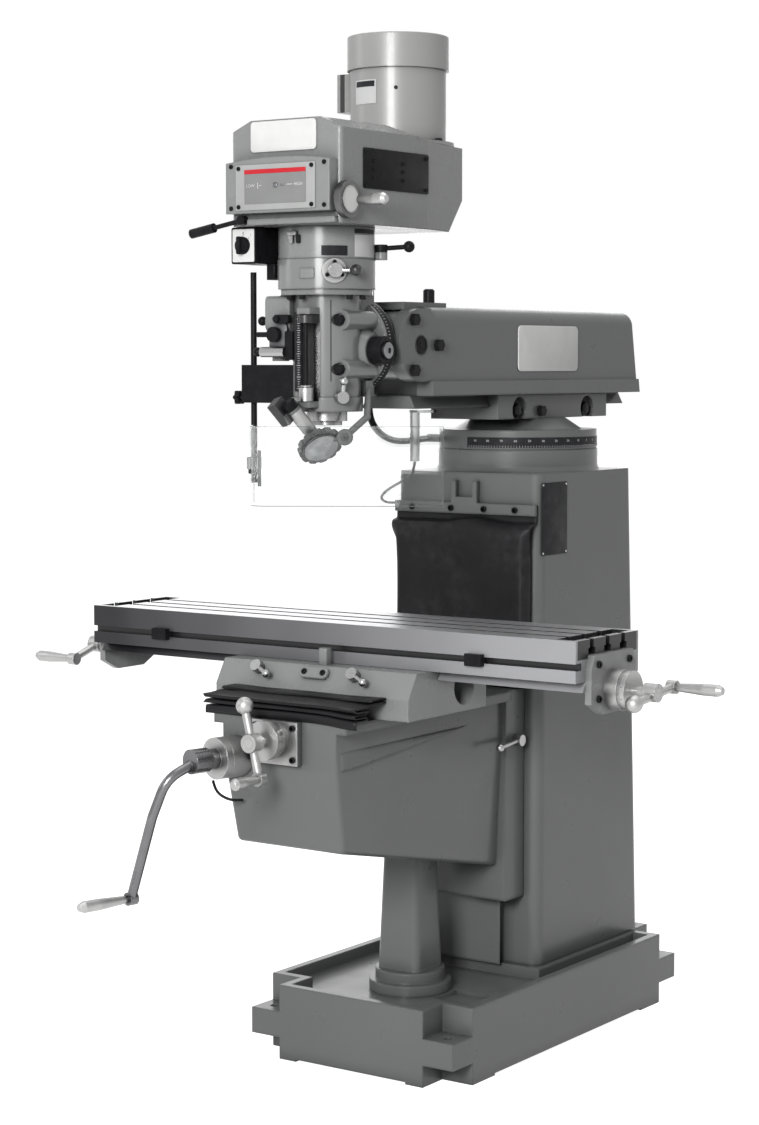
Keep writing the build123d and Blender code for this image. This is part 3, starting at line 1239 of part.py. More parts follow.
def make_feed_gear_cover():
    z0 = HEAD_Z + FEED_BOX_RISE
    body = block(FEED_BOX_X, FEED_BOX_Y, (z0, HOUSING_Z1 - GEAR_PLATE - SEAT))
    body = fillet(body.edges().filter_by(Axis.X), FEED_BOX_EDGE_R)
    tail_y = (FEED_BOX_Y[0] + FEED_BOX_Y[1]) / 2
    body += rod_z(FEED_TAIL_R, FEED_BOX_X[0] + FEED_TAIL_R, tail_y, z0 - FEED_TAIL_H, z0 + 2)
    body -= rod_z(HOUSING_R + SEAT, 0, SPINDLE_Y, HOUSING_Z0, HOUSING_Z1)
    x, y, z = feed_knob_place()
    return body - rod_x(LEVER_SHANK_R + RUN, y, z, x - 1, x + FEED_HOLE_L)


def make_feed_knob():
    x, y, z = feed_knob_place()
    body = rod_x(LEVER_SHANK_R, y, z, x - FEED_KNOB_L + FEED_BALL_R / 2, x + FEED_HOLE_L - 2)
    return body + Pos(x - FEED_KNOB_L, y, z) * Rot(0, 90, 0) * Sphere(FEED_BALL_R)


def make_quill_lock():
    at, out = quill_lock_frame()
    along, high = QUILL_LOCK_TIP
    plane = Plane(origin=at, z_dir=out, x_dir=(0, 0, 1))
    body = Pos(0, 0, LOCK_HUB_H / 2 + SLIDE) * Cylinder(LOCK_HUB_R, LOCK_HUB_H)
    body += Pos(0, 0, 1 - LOCK_SHANK_L / 2) * Cylinder(LOCK_SHANK_R, LOCK_SHANK_L)
    body += strut((0, 0, LOCK_HUB_H / 2 + 2), (along, 0, high), LOCK_BAR_R)
    return plane * (body + ball((along, 0, high), LOCK_BALL_R))


# Chip guard and lamp
def make_guard_block():
    y = (ROD_Y - CLAMP_BLOCK_W / 2, ROD_Y + CLAMP_BLOCK_W / 2)
    z0 = HEAD_Z - CLAMP_BLOCK_DROP - CLAMP_BLOCK_H / 2
    body = block((ROD_X - 3 * ROD_R, -HOUSING_R / 2), y, (z0, z0 + CLAMP_BLOCK_H))
    body -= rod_z(HOUSING_R + SEAT, 0, SPINDLE_Y, HOUSING_Z0 - 1, HOUSING_Z1)
    body -= rod_z(HOUSING_RING_R + SEAT, 0, SPINDLE_Y, HOUSING_Z0 - 1, HOUSING_Z0 + HOUSING_RING_H + SEAT)
    return body - rod_z(ROD_R + RUN, ROD_X, ROD_Y, z0 - 1, z0 + CLAMP_BLOCK_H + 1)


def make_guard_rod():
    body = rod_z(ROD_R, ROD_X, ROD_Y, ROD_Z0, ROD_Z0 + ROD_L)
    clip_z = SHIELD_TOP - SHIELD_H / 2 - SHIELD_CLIP / 2 - SLIDE
    return body + rod_z(ROD_R * 2, ROD_X, ROD_Y, clip_z - ROD_COLLAR_H, clip_z)


def make_shield():
    """Clear sheet with one bend, carried on the rod by a clip."""
    z0 = SHIELD_TOP - SHIELD_H
    near = Vector(ROD_X, ROD_Y)
    corner = Vector(*SHIELD_CORNER)
    start = near + (corner - near).normalized() * (ROD_R * 2.4)
    path = FilletPolyline((start.X, start.Y), SHIELD_CORNER, SHIELD_END, radius=SHIELD_BEND_R)
    body = extrude(Plane.XY.offset(z0) * trace(path, SHIELD_T), SHIELD_H, dir=(0, 0, 1))
    middle = SHIELD_TOP - SHIELD_H / 2
    clip_z = (middle - SHIELD_CLIP / 2, middle + SHIELD_CLIP / 2)
    body += rod_z(ROD_R * 2.5, ROD_X, ROD_Y, *clip_z)
    return body - rod_z(ROD_R + RUN, ROD_X, ROD_Y, z0 - 1, SHIELD_TOP + 1)


def below_head(place):
    """Point from X, Y and the drop below the head axis."""
    x, y, drop = place
    return Vector(x, y, HEAD_Z - drop)


def make_lamp():
    """Lamp on a bent arm from the housing's right side, its can and box slung before the housing."""
    wide, deep, tall = LAMP_FOOT_SIZE
    foot = (HOUSING_NECK_W / 2, LAMP_FOOT_Y, HOUSING_Z0 + LAMP_FOOT_RISE)
    elbow, knuckle, head = [below_head(place) for place in (LAMP_ELBOW, LAMP_KNUCKLE, LAMP_HEAD)]
    body = Pos(foot[0] + wide / 2, foot[1], foot[2]) * Box(wide, deep, tall)
    body += strut((foot[0] + wide - LAMP_ARM_R / 2, foot[1], foot[2]), elbow, LAMP_ARM_R)
    body += ball(elbow, LAMP_ELBOW_R)
    body += strut(elbow, knuckle, LAMP_ARM_R) + ball(knuckle, LAMP_KNUCKLE_R)
    body += strut(knuckle, head - Vector(*LAMP_AIM) * LAMP_BACK_L, LAMP_ARM_R)
    shade = Cylinder(LAMP_R, LAMP_RIM_T)
    for n in range(LAMP_SCALLOPS):
        angle = 360 * n / LAMP_SCALLOPS
        shade -= Rot(0, 0, angle) * Pos(LAMP_R + 1, 0, 0) * Cylinder(LAMP_SCALLOP_R, 2 * LAMP_RIM_T)
    back_z = -LAMP_RIM_T / 2 - LAMP_BACK_L
    shade += Pos(0, 0, back_z + LAMP_BACK_L / 2) * Cone(LAMP_CAN_R, LAMP_BACK_R, LAMP_BACK_L)
    body += Plane(origin=head, z_dir=LAMP_AIM, x_dir=(0, 1, 0)) * shade
    can_start = head - Vector(*LAMP_AIM) * LAMP_BACK_L
    can_end = below_head(LAMP_CAN_END)
    body += strut(can_start, can_end, LAMP_CAN_R)
    side = Plane(origin=below_head(LAMP_BOX_MIDDLE), z_dir=can_end - can_start, x_dir=(1, 0, 0))
    return body + side * Box(*LAMP_BOX_SIZE)


# Knee and its drives
def elevating_frame(reach):
    """Plane square to the angled crank shaft, at a distance from the elevating screw."""
    out = (-sin(ELEVATE_ANGLE), -cos(ELEVATE_ANGLE), 0)
    side = (cos(ELEVATE_ANGLE), -sin(ELEVATE_ANGLE), 0)
    origin = (reach * out[0], SCREW_Y + reach * out[1], ELEVATE_Z)
    return Plane(origin=origin, x_dir=side, z_dir=out)


def elevating_rod(radius, start, end):
    rod = Cylinder(radius, end - start, align=(Align.CENTER, Align.CENTER, Align.MIN))
    return elevating_frame(start) * rod


def knee_outer_edges(body, rear):
    """Edges below the band, without the joint to the rear plate."""

    def outer(edge):
        middle = edge.center()
        return middle.Y < rear - 1 and middle.Z < KNEE_BAND_Z - 1

    return body.edges().filter_by(outer)


def make_knee():
    ledge_foot = KNEE_TOP - KNEE_LEDGE_H
    plate_front = KNEE_REAR - KNEE_PLATE_T
    profile = [
        (KNEE_FRONT, KNEE_TOP),
        (KNEE_FRONT, KNEE_BAND_Z),
        (KNEE_CHIN_Y, KNEE_CHIN_Z),
        (plate_front, KNEE_REAR_FOOT_Z),
        (plate_front + FUSE, KNEE_REAR_FOOT_Z),
        (plate_front + FUSE, KNEE_TOP),
    ]
    half, foot_half = KNEE_W / 2, KNEE_FOOT_W / 2
    section = [
        (-half, KNEE_TOP),
        (-half, KNEE_BAND_Z),
        (-foot_half, KNEE_REAR_FOOT_Z),
        (foot_half, KNEE_REAR_FOOT_Z),
        (half, KNEE_BAND_Z),
        (half, KNEE_TOP),
    ]
    body = prism_x(profile, -half, half) & prism_y(section, KNEE_FRONT, plate_front + FUSE)
    body = fillet(knee_outer_edges(body, plate_front), KNEE_EDGE_R)
    top_y = (KNEE_FRONT, plate_front + FUSE)
    body += block(both_sides(KNEE_LEDGE_W / 2), top_y, (ledge_foot, KNEE_TOP))
    body += block(both_sides(KNEE_PLATE_W / 2), (plate_front, KNEE_REAR), (KNEE_PLATE_FOOT, KNEE_TOP))
    rail = [(x, KNEE_TOP + d) for x, d in dovetail(RAIL_ROOT, RAIL_FACE, RAIL_H)]
    body += prism_y(rail, KNEE_FRONT, plate_front)
    way = dovetail(WAY_ROOT, WAY_FACE, WAY_DEPTH, SLIDE)
    way = [(x, COLUMN_FRONT - d) for x, d in way]
    body -= prism_z(way, KNEE_PLATE_FOOT - 1, KNEE_TOP + 1)
    cavity_y = (KNEE_CHIN_Y + KNEE_WALL, plate_front - KNEE_WALL)
    body -= block(both_sides(KNEE_CAVITY_W / 2), cavity_y, (0, KNEE_CAVITY_TOP))
    channel_y = (KNEE_FRONT + KNEE_WALL, CROSS_REAR + 2 * CROSS_R)
    body -= block(both_sides(CHANNEL_W / 2), channel_y, (CHANNEL_FLOOR, KNEE_TOP + RAIL_H + 1))
    journal_foot = KNEE_CAVITY_TOP - JOURNAL_BOSS_H
    boss_r = WHEEL_R - BEVEL_FACE - FUSE
    body += rod_z(boss_r, 0, SCREW_Y, journal_foot, CHANNEL_FLOOR - 1)
    body -= rod_z(SCREW_JOURNAL_R + RUN, 0, SCREW_Y, journal_foot - 1, CHANNEL_FLOOR + 1)
    body -= rod_y(CROSS_R + KNEE_HOLE_GAP, 0, CROSS_Z, KNEE_FRONT - 1, KNEE_FRONT + KNEE_WALL + 1)
    shaft_s = (ELEVATE_OUT - 4 * KNEE_WALL, ELEVATE_OUT + KNEE_WALL)
    body -= elevating_rod(ELEVATE_SHAFT_R + KNEE_HOLE_GAP, *shaft_s)
    lock_y = KNEE_REAR - KNEE_PLATE_T / 2
    plate_side = KNEE_PLATE_W / 2
    lock_x = (plate_side - LOCK_SHANK_L - 2, plate_side + 1)
    return body - rod_x(LOCK_SHANK_R + RUN, lock_y, KNEE_LOCK_Z, *lock_x)


def make_knee_lock():
    y, x = KNEE_REAR - KNEE_PLATE_T / 2, KNEE_PLATE_W / 2
    body = rod_x(LOCK_HUB_R, y, KNEE_LOCK_Z, x + SLIDE, x + LOCK_HUB_H)
    body += rod_x(LOCK_SHANK_R, y, KNEE_LOCK_Z, x - LOCK_SHANK_L, x + 1)
    out, along, rise = KNEE_LOCK_TIP
    tip = (x + out, y + along, KNEE_LOCK_Z + rise)
    return body + strut((x + LOCK_HUB_H / 2, y, KNEE_LOCK_Z), tip, LOCK_BAR_R) + ball(tip, LOCK_BALL_R)


def make_elevating_screw():
    """Screw with the bevel wheel that the crank's pinion drives."""
    apex = ELEVATE_Z
    journal_foot = KNEE_CAVITY_TOP - JOURNAL_BOSS_H - SLIDE
    body = rod_z(SCREW_R, 0, SCREW_Y, SCREW_FOOT, journal_foot)
    body += rod_z(SCREW_JOURNAL_R, 0, SCREW_Y, SCREW_FOOT, CHANNEL_FLOOR - 1)
    rim = apex - PINION_R
    inner_r = WHEEL_R - BEVEL_FACE
    inner = apex - PINION_R * inner_r / WHEEL_R
    body += cone_z(WHEEL_R, inner_r, 0, SCREW_Y, rim - BEVEL_MESH, inner - BEVEL_MESH)
    return body + rod_z(WHEEL_R, 0, SCREW_Y, rim - BEVEL_FACE, rim - BEVEL_MESH)


def make_elevating_bracket():
    body = elevating_rod(BARREL_R, ELEVATE_OUT - BARREL_R, ELEVATE_OUT + BARREL_L)
    body -= block(both_sides(KNEE_W), (KNEE_FRONT, 0), both_about(ELEVATE_Z, KNEE_W))
    return body - elevating_rod(ELEVATE_SHAFT_R + RUN, 0, ELEVATE_OUT + BARREL_L + 1)


def make_elevating_crank():
    """Bevel pinion, angled shaft, dial, hub and the long bent arm with its grip."""
    dial = ELEVATE_OUT + BARREL_L + SLIDE
    neck = dial + ELEVATE_DIAL_T
    hub = neck + ELEVATE_NECK_L
    hub_end = hub + ELEVATE_HUB_L
    arm_out = ELEVATE_OUT + ELEVATE_ARM_REACH
    body = elevating_rod(ELEVATE_SHAFT_R, WHEEL_R, hub)
    inner_r = PINION_R * (WHEEL_R - BEVEL_FACE) / WHEEL_R
    pinion = Pos(0, 0, BEVEL_FACE / 2) * Cone(inner_r, PINION_R, BEVEL_FACE)
    body += elevating_frame(WHEEL_R - BEVEL_FACE + BEVEL_MESH) * pinion
    body += elevating_rod(PINION_R, WHEEL_R, WHEEL_R + BEVEL_FACE)
    body += elevating_rod(ELEVATE_DIAL_R, dial, neck)
    body += elevating_rod(ELEVATE_NECK_R, neck, hub) + elevating_rod(ELEVATE_HUB_R, hub, hub_end)
    middle = (hub + hub_end) / 2 - arm_out
    arm_path = FilletPolyline(
        (0, 0, middle),
        (*ELEVATE_HIP, -ELEVATE_HIP_BACK),
        (*ELEVATE_KNEE, 0),
        (*ELEVATE_GRIP, 0),
        radius=ELEVATE_ARM_BEND_R,
    )
    start = Plane(origin=arm_path @ 0, z_dir=arm_path % 0)
    arm = sweep(start * Circle(ELEVATE_ARM_R), path=arm_path)
    arm += Pos(*ELEVATE_GRIP, 0) * Cylinder(ELEVATE_GRIP_R, 2 * ELEVATE_ARM_R)
    arm += Pos(*ELEVATE_GRIP, ELEVATE_ARM_R) * grip(ELEVATE_GRIP_L)
    return body + elevating_frame(arm_out) * arm


def make_cross_bracket():
    front = KNEE_FRONT - CROSS_PLATE_T
    plate_z = both_about(CROSS_Z - CROSS_PLATE_DROP, CROSS_PLATE_H / 2)
    plate = block(both_sides(CROSS_PLATE_W / 2), (front, KNEE_FRONT), plate_z)
    body = plate + rod_y(CROSS_HUB_R, 0, CROSS_Z, front - CROSS_HUB_T, front)
    return body - rod_y(CROSS_SHAFT_R + RUN, 0, CROSS_Z, front - CROSS_HUB_T - 1, KNEE_FRONT + 1)


def make_cross_screw():
    hub_face = KNEE_FRONT - CROSS_PLATE_T - CROSS_HUB_T
    dial_back = hub_face - SLIDE
    body = rod_y(CROSS_R, 0, CROSS_Z, KNEE_FRONT + SLIDE, CROSS_REAR)
    body += rod_y(CROSS_SHAFT_R, 0, CROSS_Z, CROSS_CRANK_Y - CRANK_HUB_L / 2, CROSS_REAR)
    return body + rod_y(CROSS_DIAL_R, 0, CROSS_Z, dial_back - CROSS_DIAL_T, dial_back)


def make_cross_crank():
    plane = Plane(origin=(0, CROSS_CRANK_Y, CROSS_Z), x_dir=(1, 0, 0), z_dir=(0, -1, 0))
    return plane * ball_crank(CROSS_BALL, CROSS_GRIP, CROSS_SHAFT_R, CROSS_GRIP_L)


def make_way_cover():
    """Folded rubber cover over the knee's ways: a low stack in front, a mat and a stack at the saddle."""
    r = COVER_FOLD_R
    front = KNEE_FRONT - SLIDE - COVER_T / 2
    near, far = front + r, front + COVER_FRONT_L
    z = KNEE_TOP + RAIL_H + COVER_FOOT
    flap = (front, KNEE_TOP - COVER_LAP)
    lines = [Line(flap, (front, z - r)), RadiusArc((front, z - r), (near, z), r)]
    ends = (near, far)
    for n in range(COVER_FRONT_FOLDS):
        a, b = ends if n % 2 == 0 else ends[::-1]
        lines += [Line((a, z), (b, z)), fold(b, z, r, n % 2 == 0)]
        z += 2 * r
    last = SADDLE_FRONT - COVER_REAR_GAP - r
    rear = (last - COVER_REAR_L, last)
    lines.append(Line((near, z), (rear[0], z + COVER_MAT_RISE)))
    z += COVER_MAT_RISE
    lines.append(Line((rear[0], z), (last, z)))
    for n in range(COVER_REAR_FOLDS):
        a, b = rear[::-1] if n % 2 == 0 else rear
        lines += [fold(a, z, r, n % 2 == 0), Line((a, z + 2 * r), (b, z + 2 * r))]
        z += 2 * r
    strip = trace(lines, COVER_T)
    return extrude(Plane.YZ.offset(-COVER_W / 2) * strip, COVER_W, dir=(1, 0, 0))


def fold(y, z, r, outward):
    """Half circle from (y, z) up to the next layer."""
    bulge = r if outward else -r
    return ThreePointArc((y, z), (y + bulge, z + r), (y, z + 2 * r))


# Saddle and table
def make_saddle():
    profile = [
        (SADDLE_FRONT, SADDLE_Z),
        (SADDLE_REAR, SADDLE_Z),
        (SADDLE_REAR, SADDLE_TOP),
        (SADDLE_FRONT + SADDLE_SLOPE_Y, SADDLE_TOP),
        (SADDLE_FRONT, SADDLE_Z + SADDLE_SLOPE_Z),
    ]
    body = prism_x(profile, -SADDLE_W / 2, SADDLE_W / 2)
    rail = dovetail(RAIL_ROOT, RAIL_FACE, RAIL_H, SLIDE)
    rail = [(x, KNEE_TOP + d) for x, d in rail]
    body -= prism_y(rail, SADDLE_FRONT - 1, SADDLE_REAR + 1)
    tail = dovetail(TABLE_DOVE_ROOT, TABLE_DOVE_FACE, TABLE_DOVE_H, SLIDE)
    tail = [(TABLE_Y + y, TABLE_Z - d) for y, d in tail]
    body -= prism_x(tail, -SADDLE_W, SADDLE_W)
    tunnel_z = LEAD_Z - SADDLE_TUNNEL_DROP
    for side in (-1, 1):
        inner, outer = side * LEAD_NUT_L / 2, side * SADDLE_W
        body -= rod_x(SADDLE_TUNNEL_R, TABLE_Y, tunnel_z, min(inner, outer), max(inner, outer))
    nut_y = both_about(TABLE_Y, LEAD_NUT_W / 2)
    body += block(both_sides(LEAD_NUT_L / 2), nut_y, (LEAD_Z - LEAD_R, LEAD_Z + LEAD_R + LEAD_NUT_CAP))
    body -= rod_x(LEAD_R + RUN, TABLE_Y, LEAD_Z, -SADDLE_W, SADDLE_W)
    nut_z = (CHANNEL_FLOOR + FUSE, KNEE_TOP + RAIL_H + FUSE)
    body += block(both_sides(CROSS_NUT_W / 2), both_about(CROSS_NUT_Y, CROSS_NUT_L / 2), nut_z)
    body -= rod_y(CROSS_R + RUN, 0, CROSS_Z, CROSS_NUT_Y - CROSS_NUT_L, CROSS_NUT_Y + CROSS_NUT_L)
    for x in (LOCK_LEFT_X, LOCK_RIGHT_X):
        place = saddle_lock_frame(x)
        body -= place * Cylinder(LOCK_SHANK_R + RUN, 2 * LOCK_SHANK_L)
    return body


def saddle_lock_frame(x):
    """Plane on the saddle's sloping brow, square to it."""
    rise = SADDLE_H - SADDLE_SLOPE_Z
    share = 1 - LOCK_DROP / rise
    origin = (x, SADDLE_FRONT + share * SADDLE_SLOPE_Y, SADDLE_TOP - LOCK_DROP)
    out = Vector(0, -rise, SADDLE_SLOPE_Y).normalized()
    return Plane(origin=origin, x_dir=(1, 0, 0), z_dir=out)


def make_saddle_lock(x):
    body = Pos(0, 0, LOCK_HUB_H / 2 + SLIDE) * Cylinder(LOCK_HUB_R, LOCK_HUB_H)
    body += Pos(0, 0, 1 - LOCK_SHANK_L / 2) * Cylinder(LOCK_SHANK_R, LOCK_SHANK_L)
    body += strut((0, 0, LOCK_HUB_H / 2 + 2), SADDLE_LOCK_TIP, LOCK_BAR_R)
    body += ball(SADDLE_LOCK_TIP, LOCK_BALL_R)
    return saddle_lock_frame(x) * body


def make_table():
    body = block((TABLE_LEFT, TABLE_RIGHT), both_about(TABLE_Y, TABLE_W / 2), (TABLE_Z, TABLE_TOP))
    tail = [(TABLE_Y + y, TABLE_Z - d) for y, d in dovetail(TABLE_DOVE_ROOT, TABLE_DOVE_FACE, TABLE_DOVE_H)]
    body += prism_x(tail, TABLE_LEFT, TABLE_RIGHT)
    channel_z = (TABLE_Z - TABLE_DOVE_H - 1, TABLE_Z - TABLE_DOVE_H + LEAD_CHANNEL_H)
    span = (TABLE_LEFT - 1, TABLE_RIGHT + 1)
    body -= block(span, both_about(TABLE_Y, LEAD_CHANNEL_W / 2), channel_z)
    neck_foot = TABLE_TOP - T_SLOT_NECK
    for n in (-1, 0, 1):
        y = TABLE_Y + n * T_SLOT_PITCH
        body -= block(span, both_about(y, T_SLOT_W / 2), (neck_foot - 1, TABLE_TOP + 1))
        body -= block(span, both_about(y, T_SLOT_HEAD_W / 2), (neck_foot - T_SLOT_HEAD_H, neck_foot))
    trough_y = both_about(TABLE_Y, TABLE_W / 2 - TROUGH_INSET)
    for end in (TABLE_LEFT + TROUGH_INSET, TABLE_RIGHT - TROUGH_INSET - TROUGH_W):
        body -= block((end, end + TROUGH_W), trough_y, (TABLE_TOP - TROUGH_DEPTH, TABLE_TOP + 1))
    groove_z = (TABLE_Z + STOP_GROOVE_RISE, TABLE_Z + STOP_GROOVE_RISE + STOP_GROOVE_H)
    return body - block(span, (TABLE_FRONT - 1, TABLE_FRONT + STOP_GROOVE_DEPTH), groove_z)


def make_end_bracket(side):
    """End bracket with the lead screw's bearing hub; side is -1 at the left and 1 at the right."""
    face = TABLE_RIGHT if side > 0 else TABLE_LEFT
    z_top = TABLE_Z + BRACKET_RISE - LEAD_DROP
    shoulder = TABLE_Z + BRACKET_SHOULDER
    foot = LEAD_Z - BRACKET_DROP
    outline = [
        (TABLE_Y - BRACKET_HALF_FOOT, foot + BRACKET_DROP / 2),
        (TABLE_Y - BRACKET_HALF_FOOT / 2, foot),
        (TABLE_Y + BRACKET_HALF_FOOT / 2, foot),
        (TABLE_Y + BRACKET_HALF_FOOT, foot + BRACKET_DROP / 2),
        (TABLE_Y + BRACKET_HALF_FOOT, shoulder),
        (TABLE_Y + BRACKET_HALF_TOP, z_top),
        (TABLE_Y - BRACKET_HALF_TOP, z_top),
        (TABLE_Y - BRACKET_HALF_FOOT, shoulder),
    ]
    outer = face + side * BRACKET_T
    body = prism_x(outline, min(face, outer), max(face, outer))
    body += rod_x(BRACKET_HUB_R, TABLE_Y, LEAD_Z, outer, outer + side * BRACKET_HUB_L)
    return body - rod_x(LEAD_SHAFT_R + RUN, TABLE_Y, LEAD_Z, *both_about(face, TABLE_W / 2))


def crank_plane_x(side):
    face = TABLE_RIGHT if side > 0 else TABLE_LEFT
    return face + side * TABLE_CRANK_REACH


def make_lead_screw():
    body = rod_x(LEAD_R, TABLE_Y, LEAD_Z, TABLE_LEFT + SLIDE, TABLE_RIGHT - SLIDE)
    reach = CRANK_HUB_L / 2
    body += rod_x(LEAD_SHAFT_R, TABLE_Y, LEAD_Z, crank_plane_x(-1) - reach, crank_plane_x(1) + reach)
    for side, face in ((-1, TABLE_LEFT), (1, TABLE_RIGHT)):
        dial = face + side * (BRACKET_T + BRACKET_HUB_L + SLIDE)
        body += rod_x(DIAL_R, TABLE_Y, LEAD_Z, dial, dial + side * DIAL_T)
    return body


def make_table_cranks():
    right = Plane(origin=(crank_plane_x(1), TABLE_Y, LEAD_Z), x_dir=(0, 1, 0), z_dir=(1, 0, 0))
    left = Plane(origin=(crank_plane_x(-1), TABLE_Y, LEAD_Z), x_dir=(0, -1, 0), z_dir=(-1, 0, 0))
    left_ball = (-LEFT_BALL[0], LEFT_BALL[1])
    left_grip = (-LEFT_GRIP[0], LEFT_GRIP[1])
    return Compound([
        right * ball_crank(RIGHT_BALL, RIGHT_GRIP, LEAD_SHAFT_R, TABLE_GRIP_L),
        left * ball_crank(left_ball, left_grip, LEAD_SHAFT_R, TABLE_GRIP_L),
    ])


def make_table_stops():
    """Two stops clamped in the table's front groove."""
    groove_z = TABLE_Z + STOP_GROOVE_RISE
    stops = []
    for x in (DOG_LEFT_X, DOG_RIGHT_X):
        head_z = (groove_z - DOG_LAP, groove_z + STOP_GROOVE_H + DOG_LAP)
        head = block(both_about(x, DOG_L / 2), (TABLE_FRONT - DOG_OUT, TABLE_FRONT), head_z)
        tongue_y = (TABLE_FRONT - 1, TABLE_FRONT + STOP_GROOVE_DEPTH - 1)
        tongue = block(both_about(x, DOG_L / 2), tongue_y, (groove_z + SEAT, groove_z + STOP_GROOVE_H - SEAT))
        stops.append(head + tongue)
    return Compound(stops)


def make_connector():
    x, y, z = CABLE_ROUTE[0]
    z += CORD_GAP
    half = CONNECTOR_W / 2
    body = block(both_about(x, half), both_about(y, half), (z, z + CONNECTOR_H))
    body = fillet(body.edges().filter_by(Axis.Z), CONNECTOR_EDGE_R)
    arm_z = (z + CONNECTOR_H - CONNECTOR_ARM_T, z + CONNECTOR_H)
    return body + block((x - half, x + 1.5 * CONNECTOR_W), (y - half, TURRET_BLOCK_FRONT), arm_z)


PARTS = {
    "base_casting": make_base(),
    "column": make_column(),
    "elevating_pedestal": make_pedestal(),
    "apron_clamp_bar": make_apron_bar(),
    "rubber_apron": make_apron(),
    "signal_cable": cord_tube("signal cable", CABLE_ROUTE, CABLE_R),
    "turret": make_turret(),
    "cable_connector": make_connector(),
    "ram_pinion": make_ram_pinion(),
    "ram": make_ram(),
    "ram_clamp_bolts": make_ram_clamp_bolts(),
    "motor_conduit": cord_tube("motor conduit", CONDUIT_ROUTE, CONDUIT_R),
    "ram_adapter": make_adapter(),
    "quill_housing": make_quill_housing(),
    "lower_gear_housing": make_lower_gear_housing(),
    "upper_gear_housing": make_upper_gear_housing(),
    "belt_housing": make_belt_housing(),
    "speed_panel": make_speed_panel(),
    "motor_frame": make_motor_frame(),
    "motor_cap": make_motor_cap(),
    "motor_terminal_box": make_terminal_box(),
    "switch_box": make_switch_box(),
    "feed_gear_cover": make_feed_gear_cover(),
    "head_clamp_bolts": make_head_clamp_bolts(),
    "drive_belt": make_drive_belt(),
    "depth_stop_rod": make_stop_rod(),
    "guard_clamp_block": make_guard_block(),
    "work_lamp": make_lamp(),
    "motor_rotor": make_motor_rotor(),
    "spindle_pulley": make_spindle_pulley(),
    "quill": make_quill(),
    "spindle": make_spindle(),
    "depth_stop_nut": make_stop_nut(),
    "speed_dial": make_speed_dial(),
    "gear_range_lever": make_range_lever(),
    "brake_lever": make_brake_lever(),
    "feed_rate_lever": make_rate_lever(),
    "switch_knob": make_switch_knob(),
    "feed_engage_knob": make_feed_knob(),
    "quill_feed_hub": make_quill_feed_hub(),
    "quill_lock_lever": make_quill_lock(),
    "guard_rod": make_guard_rod(),
    "guard_shield": make_shield(),
    "knee": make_knee(),
    "elevating_bracket": make_elevating_bracket(),
    "cross_feed_bracket": make_cross_bracket(),
    "knee_way_cover": make_way_cover(),
    "knee_lock_lever": make_knee_lock(),
    "elevating_crank": make_elevating_crank(),
    "elevating_screw": make_elevating_screw(),
    "cross_feed_screw": make_cross_screw(),
    "cross_feed_crank": make_cross_crank(),
    "saddle": make_saddle(),
    "table_lock_lever_left": make_saddle_lock(LOCK_LEFT_X),
    "table_lock_lever_right": make_saddle_lock(LOCK_RIGHT_X),
    "table": make_table(),
    "table_end_brackets": Compound([make_end_bracket(-1), make_end_bracket(1)]),
    "table_stops": make_table_stops(),
    "lead_screw": make_lead_screw(),
    "table_cranks": make_table_cranks(),
}

os.makedirs("parts", exist_ok=True)
for name, shape in PARTS.items():
    export_step(shape, f"parts/{name}.step")
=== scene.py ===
import math
import bmesh
import bpy
from mathutils import Matrix, Vector


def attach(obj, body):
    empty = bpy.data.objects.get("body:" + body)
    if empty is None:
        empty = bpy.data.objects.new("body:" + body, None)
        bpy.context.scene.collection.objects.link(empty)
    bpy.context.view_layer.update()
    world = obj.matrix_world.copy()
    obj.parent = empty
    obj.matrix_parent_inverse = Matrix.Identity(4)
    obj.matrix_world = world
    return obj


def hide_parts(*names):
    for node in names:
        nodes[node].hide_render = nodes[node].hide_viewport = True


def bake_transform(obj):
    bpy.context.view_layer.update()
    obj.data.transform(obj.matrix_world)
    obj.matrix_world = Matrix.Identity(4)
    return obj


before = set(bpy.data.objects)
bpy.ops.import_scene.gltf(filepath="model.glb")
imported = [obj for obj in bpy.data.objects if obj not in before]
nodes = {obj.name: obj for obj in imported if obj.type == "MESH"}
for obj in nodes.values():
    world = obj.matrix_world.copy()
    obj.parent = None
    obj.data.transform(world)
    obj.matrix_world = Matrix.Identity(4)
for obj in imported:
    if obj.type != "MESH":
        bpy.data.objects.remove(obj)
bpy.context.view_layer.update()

MM = 0.001
RIGHT, LEFT = (1, 0, 0), (-1, 0, 0)
BACK, FRONT = (0, 1, 0), (0, -1, 0)
UP, DOWN = (0, 0, 1), (0, 0, -1)
ORIGIN = (0, 0, 0)


# Shader helpers
NOISE_MIDDLE = (0.3, 0.7)
NOISE_CORE = (0.35, 0.65)
# Painted shade in corners and gaps: the occlusion span it darkens over, and its samples
PAINTED_SHADE_SPAN = (0.3, 0.95)
PAINTED_SHADE_SAMPLES = 6
EDGE_SAMPLES = 4


def shade(color, factor):
    return tuple(min(1.0, c * factor) for c in color)


